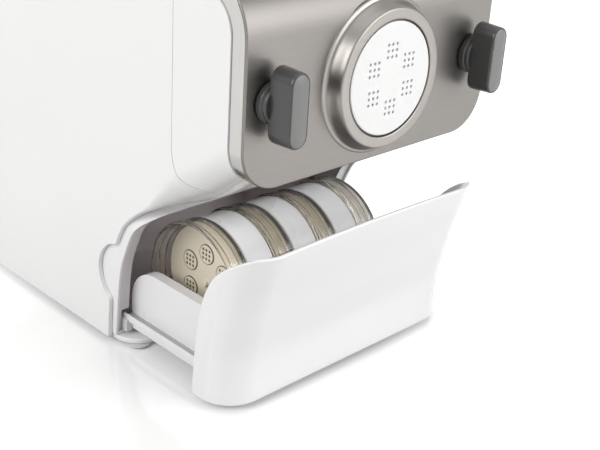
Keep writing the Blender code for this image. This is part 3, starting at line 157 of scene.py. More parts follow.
def spun(profile, centre, axis="Y", steps=96, closed=True):
    """A profile of (radius, place along the axis) turned about an axis."""
    along = {"X": Vector((1, 0, 0)), "Y": Vector((0, 1, 0)), "Z": Vector((0, 0, 1))}[axis]
    side = Vector((0, 1, 0)) if axis == "X" else Vector((1, 0, 0))
    bm = bmesh.new()
    verts = [bm.verts.new(Vector(centre) + side * r + along * t) for r, t in profile]
    pairs = list(zip(verts, verts[1:] + (verts[:1] if closed else [])))
    radii = {vert: r for vert, (r, _) in zip(verts, profile)}
    for a, b in pairs:
        if radii[a] > 0.001 or radii[b] > 0.001:
            bm.edges.new((a, b))
    bmesh.ops.spin(bm, geom=list(bm.verts) + list(bm.edges), cent=centre, axis=along,
                   angle=2 * math.pi, steps=steps, use_merge=True, use_duplicate=False)
    return solid(bm)


def rod(radius, centre, start, end, axis="Y", steps=48):
    return spun([(0, start), (radius, start), (radius, end), (0, end)], centre, axis, steps)


def joined(*forms):
    """Several separate forms as one piece."""
    bm = bmesh.new()
    for form in forms:
        bm.from_mesh(form.data)
        bpy.data.objects.remove(form, do_unlink=True)
    return solid(bm)


def evaluated(form):
    graph = bpy.context.evaluated_depsgraph_get()
    mesh = bpy.data.meshes.new_from_object(form.evaluated_get(graph))
    form.modifiers.clear()
    form.data = mesh
    return form


def work(form, tool, operation):
    modifier = form.modifiers.new("work", "BOOLEAN")
    modifier.operation = operation
    modifier.solver = "EXACT"
    modifier.object = tool
    evaluated(form)
    bpy.data.objects.remove(tool, do_unlink=True)
    bm = bmesh.new()
    bm.from_mesh(form.data)
    bmesh.ops.remove_doubles(bm, verts=bm.verts, dist=0.004)
    bmesh.ops.dissolve_degenerate(bm, edges=bm.edges, dist=0.004)
    bm.to_mesh(form.data)
    bm.free()
    return form


def carve(form, *tools):
    for tool in tools:
        work(form, tool, "DIFFERENCE")
    return form


def add(form, *tools):
    for tool in tools:
        work(form, tool, "UNION")
    return form


def keep(form, tool):
    return work(form, tool, "INTERSECT")


def soften(form, width, segments=2, angle=40):
    """Rounds the sharp edges of a form."""
    bevel = form.modifiers.new("soften", "BEVEL")
    bevel.width = width
    bevel.segments = segments
    bevel.limit_method = "ANGLE"
    bevel.angle_limit = math.radians(angle)
    bevel.use_clamp_overlap = True
    bevel.miter_outer = "MITER_ARC"
    return evaluated(form)


def place(form, name, material, body, nodes=(), shift=(0, 0, 0), crease=45):
    """Makes a drawn form a finished piece that rides on a body."""
    form.name = name
    form.data.name = name
    form.data.transform(to_metres @ Matrix.Translation(shift))
    form.data.materials.clear()
    form.data.materials.append(material)
    form.data.shade_smooth()
    form.data.set_sharp_from_angle(angle=math.radians(crease))
    smooth = form.modifiers.new("weighted", "WEIGHTED_NORMAL")
    smooth.keep_sharp = True
    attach(form, body)
    if nodes:
        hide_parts(*nodes)
    return form


# Materials


class Finish:
    """A material under construction: a shader with its texture nodes."""

    def __init__(self, name, colour, roughness, metallic=0.0):
        self.material = bpy.data.materials.new(name)
        self.material.use_nodes = True
        self.nodes = self.material.node_tree.nodes
        self.links = self.material.node_tree.links
        self.shader = self.nodes["Principled BSDF"]
        self.colour = colour
        self.roughness = roughness
        self.set("Base Color", (*colour, 1))
        self.set("Roughness", roughness)
        self.set("Metallic", metallic)
        self.where = self.nodes.new("ShaderNodeTexCoord").outputs["Object"]

    def set(self, socket, value):
        self.shader.inputs[socket].default_value = value

    def mapped(self, scale, centre=(0, 0, 0)):
        mapping = self.nodes.new("ShaderNodeMapping")
        mapping.inputs["Location"].default_value = [-c * s for c, s in zip(centre, scale)]
        mapping.inputs["Scale"].default_value = scale
        self.links.new(self.where, mapping.inputs["Vector"])
        return mapping.outputs["Vector"]

    def polar(self, scale, centre, axis):
        """Radius about an axis and place along it, for marks that run round."""
        moved = self.mapped((1, 1, 1), centre)
        split = self.nodes.new("ShaderNodeSeparateXYZ")
        self.links.new(moved, split.inputs[0])
        across, up = {"X": ("Y", "Z"), "Y": ("X", "Z"), "Z": ("X", "Y")}[axis]
        flat = self.nodes.new("ShaderNodeCombineXYZ")
        self.links.new(split.outputs[across], flat.inputs["X"])
        self.links.new(split.outputs[up], flat.inputs["Y"])
        length = self.nodes.new("ShaderNodeVectorMath")
        length.operation = "LENGTH"
        self.links.new(flat.outputs[0], length.inputs[0])
        paired = self.nodes.new("ShaderNodeCombineXYZ")
        self.links.new(length.outputs["Value"], paired.inputs["X"])
        self.links.new(split.outputs[axis], paired.inputs["Y"])
        scaled = self.nodes.new("ShaderNodeVectorMath")
        scaled.operation = "SCALE"
        scaled.inputs["Scale"].default_value = scale
        self.links.new(paired.outputs[0], scaled.inputs[0])
        return scaled.outputs[0]

    def noise(self, vector, scale=1.0, detail=4.0):
        noise = self.nodes.new("ShaderNodeTexNoise")
        noise.inputs["Scale"].default_value = scale
        noise.inputs["Detail"].default_value = detail
        self.links.new(vector, noise.inputs["Vector"])
        return noise.outputs["Fac"]

    def ranged(self, value, low, high):
        span = self.nodes.new("ShaderNodeMapRange")
        span.inputs["From Min"].default_value = 0.3
        span.inputs["From Max"].default_value = 0.7
        span.inputs["To Min"].default_value = low
        span.inputs["To Max"].default_value = high
        self.links.new(value, span.inputs["Value"])
        return span.outputs["Result"]

    def vary_roughness(self, value, spread):
        self.links.new(self.ranged(value, self.roughness - spread, self.roughness + spread),
                       self.shader.inputs["Roughness"])

    def vary_colour(self, value, low, high):
        """Runs the colour between two shades of itself."""
        mix = self.nodes.new("ShaderNodeMix")
        mix.data_type = "RGBA"
        mix.inputs["A"].default_value = (*[c * low for c in self.colour], 1)
        mix.inputs["B"].default_value = (*[min(1, c * high) for c in self.colour], 1)
        self.links.new(self.ranged(value, 0, 1), mix.inputs["Factor"])
        self.links.new(mix.outputs["Result"], self.shader.inputs["Base Color"])

    def bump(self, value, strength, distance=0.0002):
        bump = self.nodes.new("ShaderNodeBump")
        bump.inputs["Strength"].default_value = strength
        bump.inputs["Distance"].default_value = distance
        self.links.new(value, bump.inputs["Height"])
        self.links.new(bump.outputs["Normal"], self.shader.inputs["Normal"])


def plastic(name, colour, roughness, grain=900, relief=0.02, coat=0.0, shade=0.985, clear=0.0):
    finish = Finish(name, colour, roughness)
    broad = finish.noise(finish.mapped((1, 1, 1)), 14, 3)
    fine = finish.noise(finish.mapped((1, 1, 1)), grain, 5)
    finish.vary_colour(broad, shade, 1.0)
    finish.vary_roughness(broad, min(0.03, roughness / 3))
    finish.bump(fine, relief)
    finish.set("Coat Weight", coat)
    finish.set("Coat Roughness", 0.08)
    if clear:
        finish.set("Transmission Weight", clear)
        finish.set("IOR", 1.46)
    return finish.material


def brushed(name, colour, roughness, stretch, relief=0.08, spread=0.05, shade=0.9):
    """Metal brushed in straight strokes; stretch is strokes per metre along each axis."""
    finish = Finish(name, colour, roughness, 1.0)
    strokes = finish.noise(finish.mapped(stretch), 1, 5)
    finish.vary_colour(strokes, shade, 1.06)
    finish.vary_roughness(strokes, spread)
    finish.bump(strokes, relief, 0.00005)
    return finish.material


def turned_metal(name, colour, roughness, centre, axis, strokes=2500, relief=0.06, metallic=1.0):
    """Metal with fine marks that run round an axis."""
    finish = Finish(name, colour, roughness, metallic)
    marks = finish.noise(finish.polar(strokes, centre, axis), 1, 4)
    finish.vary_colour(marks, 0.9, 1.05)
    finish.vary_roughness(marks, 0.05)
    finish.bump(marks, relief, 0.00005)
    return finish.material


disc_point = (0, face_place, disc_height / 1000)
white = plastic("gloss white plastic", (0.87, 0.868, 0.867), 0.2, coat=0.25)
drawer_white = plastic("drawer white plastic", (0.87, 0.868, 0.87), 0.18, coat=0.3)
tray_white = plastic("tray white plastic", (0.84, 0.835, 0.85), 0.3)
rim_white = plastic("rim pale plastic", (0.86, 0.855, 0.86), 0.25)
band_grey = plastic("bay edge grey plastic", (0.70, 0.685, 0.69), 0.35)
# Grey for the strips on the tray runners' channel floors: painted shade for the shaded channel.
groove_shade_grey = plastic("tray groove painted shade", (0.45, 0.445, 0.45), 0.4)
bay_grey = plastic("bay grey plastic", (0.92, 0.85, 0.855), 0.38)
inner_grey = plastic("inner grey plastic", (0.5, 0.5, 0.51), 0.45, relief=0.05)
pale_grey = plastic("pale grey plastic", (0.66, 0.66, 0.67), 0.35, relief=0.04)
# Dark moulded plastic for the inside parts and the cord inlet; also the ring of painted shade in
# the gap round the shaping disc.
deep_grey_and_gap_shade = plastic("dark moulded plastic and gap shade", (0.05, 0.05, 0.053), 0.4, relief=0.06)
disc_white = plastic("disc white plastic", (0.86, 0.86, 0.86), 0.28, grain=1400, relief=0.03,
                     coat=0.2)
# The stored discs are the same white plastic as the shaping disc, made lighter as painted light for
# the shade they sit in under the overhang.
stored_white_painted_light = plastic("stored disc white plastic, painted lighter", (0.95, 0.95, 0.96), 0.28, grain=1400,
                       relief=0.03, coat=0.2)
food_white = plastic("food grade white plastic", (0.80, 0.81, 0.82), 0.33, relief=0.04)
knob_grey = plastic("knob dark grey plastic", (0.047, 0.0465, 0.0465), 0.28, relief=0.03, shade=0.9)
knob_face_grey = plastic("knob front grey plastic", (0.185, 0.183, 0.181), 0.3, relief=0.03,
                         shade=0.92)
gloss_black = plastic("gloss black plastic", (0.012, 0.012, 0.014), 0.08, relief=0.005, shade=0.9)
display_black = plastic("display glass", (0.006, 0.007, 0.009), 0.03, relief=0.002, coat=0.6,
                        shade=0.9)
key_grey = plastic("key satin grey plastic", (0.58, 0.58, 0.60), 0.3, relief=0.03)
amber = plastic("smoky amber plastic", (0.98, 0.95, 0.88), 0.04, relief=0.01, clear=0.95)
beige = plastic("beige plastic", (0.80, 0.73, 0.59), 0.35, relief=0.03, shade=0.9)
# Dark amber for the case edges and pad outlines; also the plugs of painted shade in the face
# plate's holes.
brown_edge_and_hole_shade = plastic("deep amber edge and hole shade", (0.16, 0.13, 0.09), 0.25, relief=0.01, shade=0.8)
clear = plastic("clear lid plastic", (0.93, 0.95, 0.96), 0.03, relief=0.004, clear=0.97)
rubber = plastic("foot rubber", (0.64, 0.635, 0.64), 0.7, grain=1800, relief=0.15)
nylon = plastic("natural nylon", (0.70, 0.67, 0.58), 0.42, relief=0.04)
green = plastic("circuit board green", (0.02, 0.13, 0.06), 0.4, relief=0.1, shade=0.7)
panel_metal = brushed("brushed panel metal", (0.195, 0.184, 0.173), 0.42, (25, 2200, 3600),
                      relief=0.05, spread=0.03, shade=0.95)
band_metal = brushed("satin band metal", (0.45, 0.442, 0.425), 0.20, (900, 900, 40), relief=0.03,
                     spread=0.03, shade=0.97)
ring_metal = turned_metal("spun ring metal", (0.26, 0.246, 0.231), 0.33, disc_point, "Y",
                          relief=0.03)
steel = turned_metal("turned steel", (0.58, 0.58, 0.60), 0.25, disc_point, "Y")
motor_metal = brushed("motor can steel", (0.30, 0.30, 0.32), 0.38, (700, 20, 700))
winding = brushed("lacquered winding", (0.55, 0.30, 0.14), 0.35, (1500, 20, 1500), relief=0.3)


# Body shells


def edge_radius(distance):
    return between(edge_corners, distance)


def body_form(start, inset=0.0):
    """The body from a depth to its closed rear, drawn in by inset."""
    line = [point for point in flowing(body_edge, 3)]
    rear = 320.0 - (wall if inset else 0)
    round_rear = 16.0
    stations = [(start, between(line, start))] + [point for point in line if point[0] > start + 0.5]
    stations += [(rear - round_rear, 4.0)]
    sections = []
    for distance, height in stations:
        corner = max(edge_radius(distance) - inset, 0.3)
        low = height + inset if distance < 126 or not inset else height - 6
        sections.append([(x, distance, z) for x, z in
                         rounded(half_width - inset, low, deck_height - inset, corner, 10 - inset)])
    for step in range(1, 9):
        angle = quarter * step / 8
        draw = inset + round_rear * (1 - math.cos(angle))
        where = rear - round_rear + round_rear * math.sin(angle)
        outline = rounded(half_width - draw, 4.0 - (6 if inset else 0), deck_height - draw, 0.3,
                          10 + 5 * (step / 8))
        sections.append([(x, where, z) for x, z in outline])
    return skinned(sections)


def panel_path(along, inward):
    """Depth and height on the bent panel at a length up its face."""
    straight, radius, angle = 87.6, 35.0, math.radians(55)
    curve = radius * angle
    inner = radius - inward
    if along <= straight:
        return inward, 150.4 + along
    if along <= straight + curve:
        turn = (along - straight) / radius
        return radius - inner * math.cos(turn), 238 + inner * math.sin(turn)
    rest = along - straight - curve
    return (radius - inner * math.cos(angle) + rest * math.sin(angle),
            238 + inner * math.sin(angle) + rest * math.cos(angle))


panel_length = 87.6 + 35 * math.radians(55) + 40


def ahead_of_panel(gap):
    """Everything in front of the panel's back, as a cutter."""
    rows = [panel_length * step / 60 for step in range(61)]
    back = [panel_path(along, 12 + gap) for along in rows]
    end = panel_path(panel_length + gap, 12 + gap)
    tip = panel_path(panel_length + gap, -4)
    outline = [(back[0][0], 0)] + back[1:] + [end, tip, (tip[0], 330), (-15, 330), (-15, 0)]
    return pulled(outline, "X", -130, 130)


def collar_region(grow):
    """Side outline of the collar, with its rounded lower rear corner."""
    seam = [(61, 162), (60.6, 157.5), (59.4, 153), (57.3, 148.8), (54.2, 145.2), (49, 142.3),
            (42.6, 140.3), (34, 138.4), (24, 136)]
    line = [(y + grow, z - grow) for y, z in flowing(seam, 3)]
    return pulled([(-5, 330), (61 + grow, 330)] + line + [(12, 118), (-5, 118)], "X", -130, 130)


def make_collar():
    collar = carve(body_form(12.3), body_form(8.3, inset=wall))
    keep(collar, collar_region(0))
    carve(collar, ahead_of_panel(0.35))
    soften(collar, 0.45)
    place(collar, "collar_shell", white, "housing", ("front_collar",))


def make_housing():
    housing = carve(body_form(12.6), body_form(8.3, inset=wall))
    carve(housing, collar_region(0.35), ahead_of_panel(0.35))
    bay = rounded(half_width - wall, -6, 108.6, 0.3, 17)
    carve(housing, pulled(bay, "Y", 50, 302))
    carve(housing, block(-97, 97, 66, 211, 280, 300))
    carve(housing, block(-40.3, 40.3, 300, 330, 69.7, 140.3))
    carve(housing, rod(9.3, (80, 0, 32), 300, 330))
    scoop = arc(129.48, 32.16, 4.0, math.radians(184.7), math.radians(125.1), 6)
    scoop += arc(113.8, 54.5, 23.3, math.radians(-54.9), math.radians(75.1), 40)
    scoop += arc(120.81, 80.89, 4.0, math.radians(255.1), math.radians(203.1), 6)
    scoop += [(100, scoop[-1][1]), (100, scoop[0][1])]
    for side in (-1, 1):
        ends = sorted((side * 104.2, side * 112))
        carve(housing, pulled(scoop, "X", ends[0], ends[1]))
    soften(housing, 0.45)
    place(housing, "housing_shell", white, "housing", ("main_housing",))


# Front panel with its ring


def bent(form):
    """Bends a form drawn flat to the panel's path."""
    bm = bmesh.new()
    bm.from_mesh(form.data)
    for step in range(25):
        place_up = 87.6 + 35 * math.radians(55) * step / 24
        geometry = list(bm.verts) + list(bm.edges) + list(bm.faces)
        bmesh.ops.bisect_plane(bm, geom=geometry, plane_co=(0, 0, place_up), plane_no=(0, 0, 1),
                               dist=0.0005)
    for vert in bm.verts:
        distance, height = panel_path(vert.co.z, vert.co.y)
        vert.co = (vert.co.x, distance, height)
    bm.to_mesh(form.data)
    bm.free()
    return form


def plate_outline(inset):
    return rounded(107 - inset, inset, panel_length - inset, 27 - inset, 8 - inset, 16)


def make_panel():
    edge = 1.1
    turns = [quarter * step / 5 for step in range(6)]
    rows = [(edge * (1 - math.sin(a)), edge * (1 - math.cos(a))) for a in turns]
    rows += [(0, 1.7), (0.5, 1.9)]
    panel = skinned([[(x, inward, along) for x, along in plate_outline(inset)]
                     for inset, inward in rows])
    carve(panel, rod(44, (0, 0, disc_height - 150.4), -3, 4, steps=96))
    for side in (-1, 1):
        carve(panel, rod(4.3, (side * 88, 0, disc_height - 150.4), -3, 4))
    place(bent(panel), "metal_panel", panel_metal, "housing", ("front_panel",))
    rows = [(0.35, 1.95), (0.2, 2.1), (0.2, 11.5), (0.6, 12.0)]
    band = skinned([[(x, inward, along) for x, along in plate_outline(inset)]
                    for inset, inward in rows])
    carve(band, pulled(plate_outline(1.7), "Y", -5, 20))
    place(bent(band), "panel_band", band_metal, "housing")

    skirt = flowing([(48.6, 0.4), (48.3, -0.3), (47.6, -0.7), (46.8, -0.9), (46.2, -1.2),
                     (45.4, -2.2), (44.7, -3.8), (44.1, -5.6), (43.5, -7.6), (42.9, -9.2),
                     (42.4, -10.0), (41.7, -10.4)], 3)
    inner = [(36.6, -10.4), (36.1, -10.3), (35.8, -10.0), (35.7, -9.5), (35.7, -6.0), (44.0, -1.0),
             (44.0, 0.4)]
    ring = spun(skirt + inner, disc_centre, steps=160)
    place(ring, "panel_ring", ring_metal, "housing")
    # Dark ring deep in the gap round the disc: painted shade for the gap's shadow.
    gap_shade_ring = spun([(34.85, -7.6), (34.85, -8.6), (35.05, -9.0), (35.45, -9.0), (35.65, -8.6),
                 (35.65, -7.6)],
                disc_centre, steps=128)
    place(gap_shade_ring, "disc_gap_shade_ring", deep_grey_and_gap_shade, "housing")


def hole_places():
    """Centres of the dough holes: six groups of nine."""
    places = []
    for group in range(6):
        angle = math.radians(93 + 60 * group)
        for column in (-1, 0, 1):
            for row in (-1, 0, 1):
                places.append((17.5 * math.cos(angle) + 3.75 * column,
                               17.5 * math.sin(angle) + 3.75 * row))
    return places


def make_disc():
    profile = [(0, -10.2), (33.6, -10.2), (34.2, -10.1), (34.6, -9.8), (34.75, -9.3), (34.75, -7.4),
               (38, -7.4), (38, 3), (33, 3), (33, -3.9), (0, -3.9)]
    disc = spun(profile, disc_centre, steps=128)
    bm = bmesh.new()
    for across, up in hole_places():
        where = Matrix.Translation((across, -8.4, disc_height + up))
        where = where @ Matrix.Rotation(quarter, 4, "X")
        bmesh.ops.create_cone(bm, cap_ends=True, segments=14, radius1=0.8, radius2=1.05, depth=4.6,
                              matrix=where)
    carve(disc, solid(bm))
    notch = rod(0.9, (34.9, 0, disc_height + 1.8), -12, -9.4)
    carve(disc, notch)
    place(disc, "pasta_disc", disc_white, "housing", ("shaping_disc",), crease=35)


# Knobs


def stadium(width, height, distance, centre):
    radius = width / 2
    top = arc(0, height / 2 - radius, radius, 0, math.pi, 14)
    low = arc(0, radius - height / 2, radius, math.pi, 2 * math.pi, 14)
    return [(centre[0] + x, distance, centre[2] + z) for x, z in top + low]


def make_knobs():
    for name, side in (("left", -1), ("right", 1)):
        centre = (side * 88.0, 0, disc_height)
        rows = [(14.2, 43.2, -6.6), (15.2, 44.2, -6.9), (15.5, 44.5, -7.6), (14.3, 43.3, -21.3),
                (14.0, 43.0, -22.1), (13.4, 42.4, -22.7), (12.6, 41.6, -23.0)]
        sections = [stadium(width, height, distance, centre) for width, height, distance in rows]
        inner = [(12.0, 41.0, -23.0), (11.6, 40.6, -22.8), (10.6, 39.6, -22.5)]
        dished = [stadium(width, height, distance, centre) for width, height, distance in inner]
        body = skinned(sections + dished)
        hub = spun([(0, -8.0), (10.6, -8.0), (11.2, -7.6), (11.5, -6.9), (11.5, -5.2), (12.2, -4.8),
                    (12.4, -4.2), (12.4, -1.6), (12.0, -1.0), (0, -0.9)], centre, steps=96)
        add(body, hub)
        carve(body, rod(4.3, centre, -12, 2))
        place(body, f"knob_{name}_grip", knob_grey, f"{name}_knob", (f"knob_{name}",),
              crease=50)
        crown = [(11.6, 40.6, -22.7), (11.7, 40.7, -22.85), (10.8, 39.8, -23.0),
                 (8.8, 37.8, -23.25), (6.0, 35.0, -23.5), (3.0, 32.0, -23.65), (0.6, 29.6, -23.7)]
        face = skinned([stadium(*row, centre) for row in crown])
        place(face, f"knob_{name}_face", knob_face_grey, f"{name}_knob")


# Drawer bay


def ahead_of_rim(moved, reach):
    line = [(y + moved, z) for y, z in flowing(rim_edge, 3)]
    return pulled([(0, 0), (line[0][0], 0)] + line + [(line[-1][0], 125), (0, 125)], "X", -reach,
                  reach)


def make_bay():
    half = half_width - wall - 0.3
    low = 6.3
    rim = pulled(rounded(half, low, 108.3, 0.5, 17, 14), "Y", 76, 140)
    carve(rim, pulled(rounded(half - 1.8, low + 1.8, 106.5, 0.4, 15.2, 14), "Y", 70, 136))
    opening = rounded(93, 8.8, 100.5, 0.5, 2.5, 6)
    carve(rim, ahead_of_rim(0, 120), pulled(opening, "Y", 60, 150),
          block(-99, 99, 60, 150, 8.8, 23.5))
    soften(rim, 0.75, 3)
    place(rim, "bay_rim", rim_white, "housing", ("bay_liner",))
    band = pulled(rounded(half - 1.9, low + 1.7, 106.6, 0.4, 15.1, 14), "Y", 80, 140)
    carve(band, ahead_of_rim(2.0, 120))
    carve(band, pulled(opening, "Y", 60, 150), block(-99, 99, 60, 150, 8.8, 23.5))
    soften(band, 0.3)
    place(band, "bay_band", band_grey, "housing")
    tunnel = pulled(rounded(95, 6.6, 102.3, 0.5, 4, 6), "Y", 139.8, 216)
    add(tunnel, block(-101, 101, 139.8, 216, 6.6, 25.5))
    carve(tunnel, pulled(opening, "Y", 130, 213.5), block(-99, 99, 130, 213.5, 8.8, 23.5))
    place(tunnel, "bay_tunnel", bay_grey, "housing")


def make_base():
    outline = arc(-83.3, 124.5, 20, 2 * quarter, 3 * quarter, 14)
    outline += arc(83.3, 124.5, 20, 3 * quarter, 4 * quarter, 14)
    outline += arc(89.3, 301, 14, 0, quarter, 8) + arc(-89.3, 301, 14, quarter, 2 * quarter, 8)
    plate = pulled(outline, "Z", 2.5, 6.0)
    soften(plate, 0.8, 3)
    place(plate, "base_lip", rim_white, "housing", ("base_plate",))
    names = ("front_left", "front_right", "rear_left", "rear_right")
    spots = [(x, y) for y in (112, 300) for x in (-93, 93)]
    for name, (x, y) in zip(names, spots):
        profile = [(0, 0), (6.2, 0), (6.8, 0.2), (7.1, 0.7), (7.1, 1.2), (8.0, 1.5), (8.0, 2.1),
                   (7.7, 2.3), (3, 2.3), (3, 5.4), (0, 5.4)]
        foot = spun(profile, (x, y, 0), axis="Z", steps=48)
        place(foot, f"foot_{name}_pad", rubber, "housing", (f"foot_{name}",))


# Drawer, drawn shut and moved out by its travel

drawer_out = (0, -drawer_travel, 0)
front_lean = [(3.5, 93.0), (20.7, 92.6), (37.9, 91.6), (49.3, 89.6), (60.8, 87.0), (72.2, 84.6),
              (83.7, 81.8), (95.1, 78.6), (106.6, 75.6), (118.0, 73.0)]
lean_line = flowing(front_lean, 4)
parting_line = sorted((z, y) for y, z in flowing(body_edge, 4))
half_shell = 1.5
shell_bend = 23.5
arch_fall = 2.8
shell_low, shell_high = 3.5, 115.0


def arch_drop(across, height):
    """How far the drawer front's rows bow down towards its sides, full at the rim."""
    return arch_fall * (across / half_width) ** 2 * max(0, (height - 75) / (shell_high - 75)) ** 2


def middle_line(height, pull):
    """Middle of the drawer front's wall at a height, from the centre to one end."""
    lean = between(lean_line, height) + half_shell
    flat = half_width - half_shell - shell_bend
    centre = lean + shell_bend
    back = between(parting_line, height + 1 - arch_drop(flat + 18, height)) - 1 - pull
    line = [(0, lean), (flat, lean)]
    if back >= centre:
        bend = arc(flat, centre, shell_bend, -quarter, 0, 32)[1:]
        return line + bend + [(flat + shell_bend, back)]
    sweep = math.acos(max(-1, min(1, (centre - max(back, lean + 0.2)) / shell_bend)))
    return line + arc(flat, centre, shell_bend, -quarter, sweep - quarter, 32)[1:]


def shell_section(height, half_wall, columns=64):
    """Closed outline of the drawer front's wall at a height, with round ends."""
    line = middle_line(height, half_wall)
    lengths = [0]
    for a, b in zip(line, line[1:]):
        lengths.append(lengths[-1] + math.dist(a, b))
    across = list(zip(lengths, [p[0] for p in line]))
    deep = list(zip(lengths, [p[1] for p in line]))
    right = [(between(across, lengths[-1] * i / columns), between(deep, lengths[-1] * i / columns))
             for i in range(columns + 1)]
    row = [(-x, y) for x, y in reversed(right[1:])] + right
    ways = []
    for i in range(len(row)):
        a, b = row[max(0, i - 1)], row[min(len(row) - 1, i + 1)]
        length = math.dist(a, b)
        ways.append(((b[0] - a[0]) / length, (b[1] - a[1]) / length))
    outer = [(x + half_wall * ty, y - half_wall * tx) for (x, y), (tx, ty) in zip(row, ways)]
    inner = [(x - half_wall * ty, y + half_wall * tx) for (x, y), (tx, ty) in zip(row, ways)]

    def cap(point, way, ahead):
        (x, y), (tx, ty) = point, way
        steps = [math.pi * k / 6 for k in range(1, 6)]
        return [(x + half_wall * (ty * math.cos(a) + ahead * tx * math.sin(a)),
                 y + half_wall * (-tx * math.cos(a) + ahead * ty * math.sin(a))) for a in steps]

    outline = outer + cap(row[-1], ways[-1], 1) + inner[::-1] + cap(row[0], ways[0], -1)[::-1]
    return [(x, y, height - arch_drop(x, height)) for x, y in outline]


def make_drawer_front():
    turns = [math.radians(a) for a in (85, 65, 45, 25)]
    sections = [(shell_low + half_shell * (1 - math.sin(a)), half_shell * math.cos(a))
                for a in turns]
    rows = 48
    low, high = shell_low + half_shell, shell_high - half_shell
    sections += [(low + (high - low) * row / rows, half_shell) for row in range(rows + 1)]
    sections += [(shell_high - half_shell * (1 - math.sin(a)), half_shell * math.cos(a))
                 for a in reversed(turns)]
    front = skinned([shell_section(height, half_wall) for height, half_wall in sections])
    place(front, "drawer_shell", drawer_white, "drawer", ("drawer_front",),
          shift=drawer_out, crease=60)


def make_tray():
    half, front, back, bottom, top, bend = 90, 97.8, 211, 9.1, 55.5, 25
    tray = block(-half, half, front, back, bottom, 11.6)
    corner = arc(back - bend, top - bend, bend, 0, quarter, 20)
    side = [(front, bottom), (back, bottom)] + corner + [(front, top)]
    for name, sign in (("left", -1), ("right", 1)):
        ends = sorted((sign * half, sign * 82.5))
        add(tray, pulled(side, "X", *ends))
        runner = [(89, 18.8), (95.6, 18.8), (95.6, 20.8), (95.9, 21.1), (96.7, 21.1), (97, 20.8),
                  (97, 16.2), (96.6, 15.8), (94, 15.4), (94, 10.9), (93.6, 10.5), (89, 10.5)]
        flange = pulled([(sign * x, z) for x, z in runner], "Y", 103, back)
        place(flange, f"tray_runner_{name}", tray_white, "drawer",
              shift=drawer_out)
        # A grey strip laid on the runner's channel floor as painted shade.
        across = sorted((sign * 90.2, sign * 95.4))
        shade_strip = block(*across, 103.5, 210.5, 18.6, 19.1)
        place(shade_strip, f"tray_groove_shade_{name}", groove_shade_grey, "drawer",
              shift=drawer_out)
    add(tray, block(-87, 87, front, 100.3, bottom, 40), block(-82, 82, 96.3, 99, bottom, 37.5))
    add(tray, block(-87, 87, 208.5, back, bottom, 38.5))
    for middle in (140, 180):
        add(tray, block(-87, 60, middle - 3, middle + 3, 10, 16.6))
    add(tray, block(58.5, 61, 99, 210, 10, 30))
    soften(tray, 0.5, 2, angle=60)
    place(tray, "tray_body", tray_white, "drawer", ("drawer_tray",), shift=drawer_out)


def make_stored():
    centre = (0, 160.0, 56.5)
    for index in range(4):
        start = -80 + 39.5 * index
        end = start + 16
        profile = [
            (0, end), (41.6, end), (42.2, end - 0.3), (42.5, end - 0.9), (42.5, end - 4.6),
            (42.0, end - 5.2), (42.0, end - 6.4), (42.5, end - 7.0), (42.5, start + 3.6),
            (42.9, start + 3.0), (43.1, start + 2.2), (43.1, start + 0.8), (42.7, start + 0.2),
            (42.0, start), (41.4, start + 0.2), (41.1, start + 1.0), (40.9, start + 4.6),
            (40.2, start + 5.2), (39.6, start + 5.4), (39.4, start + 6.0), (39.3, end - 1.5),
            (38.6, end - 0.8), (0, end - 0.8),
        ]
        case = spun(profile, centre, axis="X", steps=128)
        place(case, f"amber_case_{index + 1}", amber, "drawer", (f"storage_case_{index + 1}",),
              shift=drawer_out, crease=40)
        if index:
            core = spun([(0, start + 1), (38.3, start + 1), (38.9, start + 1.5), (38.9, end - 1.9),
                         (38.3, end - 1.1), (0, end - 1.1)], centre, axis="X", steps=96)
            place(core, f"case_core_{index + 1}", beige, "drawer",
                  shift=drawer_out)
        else:
            plate, rings = face_plate(centre, end - 1.0)
            place(plate, "case_face_plate", beige, "drawer", shift=drawer_out)
            place(rings, "case_face_rings_and_hole_shade", brown_edge_and_hole_shade, "drawer",
                  shift=drawer_out)
        marks = ((42.2, end - 0.6), (41.95, end - 6.1), (42.6, start + 3.2))
        edges = [spun([(radius, at), (radius + 0.15, at + 0.1), (radius + 0.15, at + 0.4),
                       (radius, at + 0.5)], centre, axis="X", steps=128)
                 for radius, at in marks]
        place(joined(*edges), f"case_edge_{index + 1}", brown_edge_and_hole_shade, "drawer",
              shift=drawer_out)
        if index < 3:
            near = end + 0.3
            far = near + 22.2
            profile = [
                (0, near), (34.5, near), (35, near + 0.4), (35.4, near + 1.3), (40.9, near + 1.3),
                (41.4, near + 1.6), (41.6, near + 2.2), (41.6, far - 0.8), (41.3, far - 0.2),
                (40.7, far), (39.2, far), (38.7, far - 0.6), (38.6, near + 6), (0, near + 6),
            ]
        else:
            near = end - 0.8 - 0.3
            profile = [(0, near), (39.0, near), (39.2, near - 0.5), (39.2, near - 9.6),
                       (38.7, near - 10.2), (36.6, near - 10.4), (36.4, near - 11.4),
                       (36, near - 11.6), (0, near - 11.6)]
        disc = spun(profile, centre, axis="X", steps=128)
        # The stored discs take the lighter copy of the disc white: painted light.
        place(disc, f"white_disc_{index + 1}", stored_white_painted_light, "drawer",
              (f"stored_disc_{index + 1}",), shift=drawer_out, crease=40)


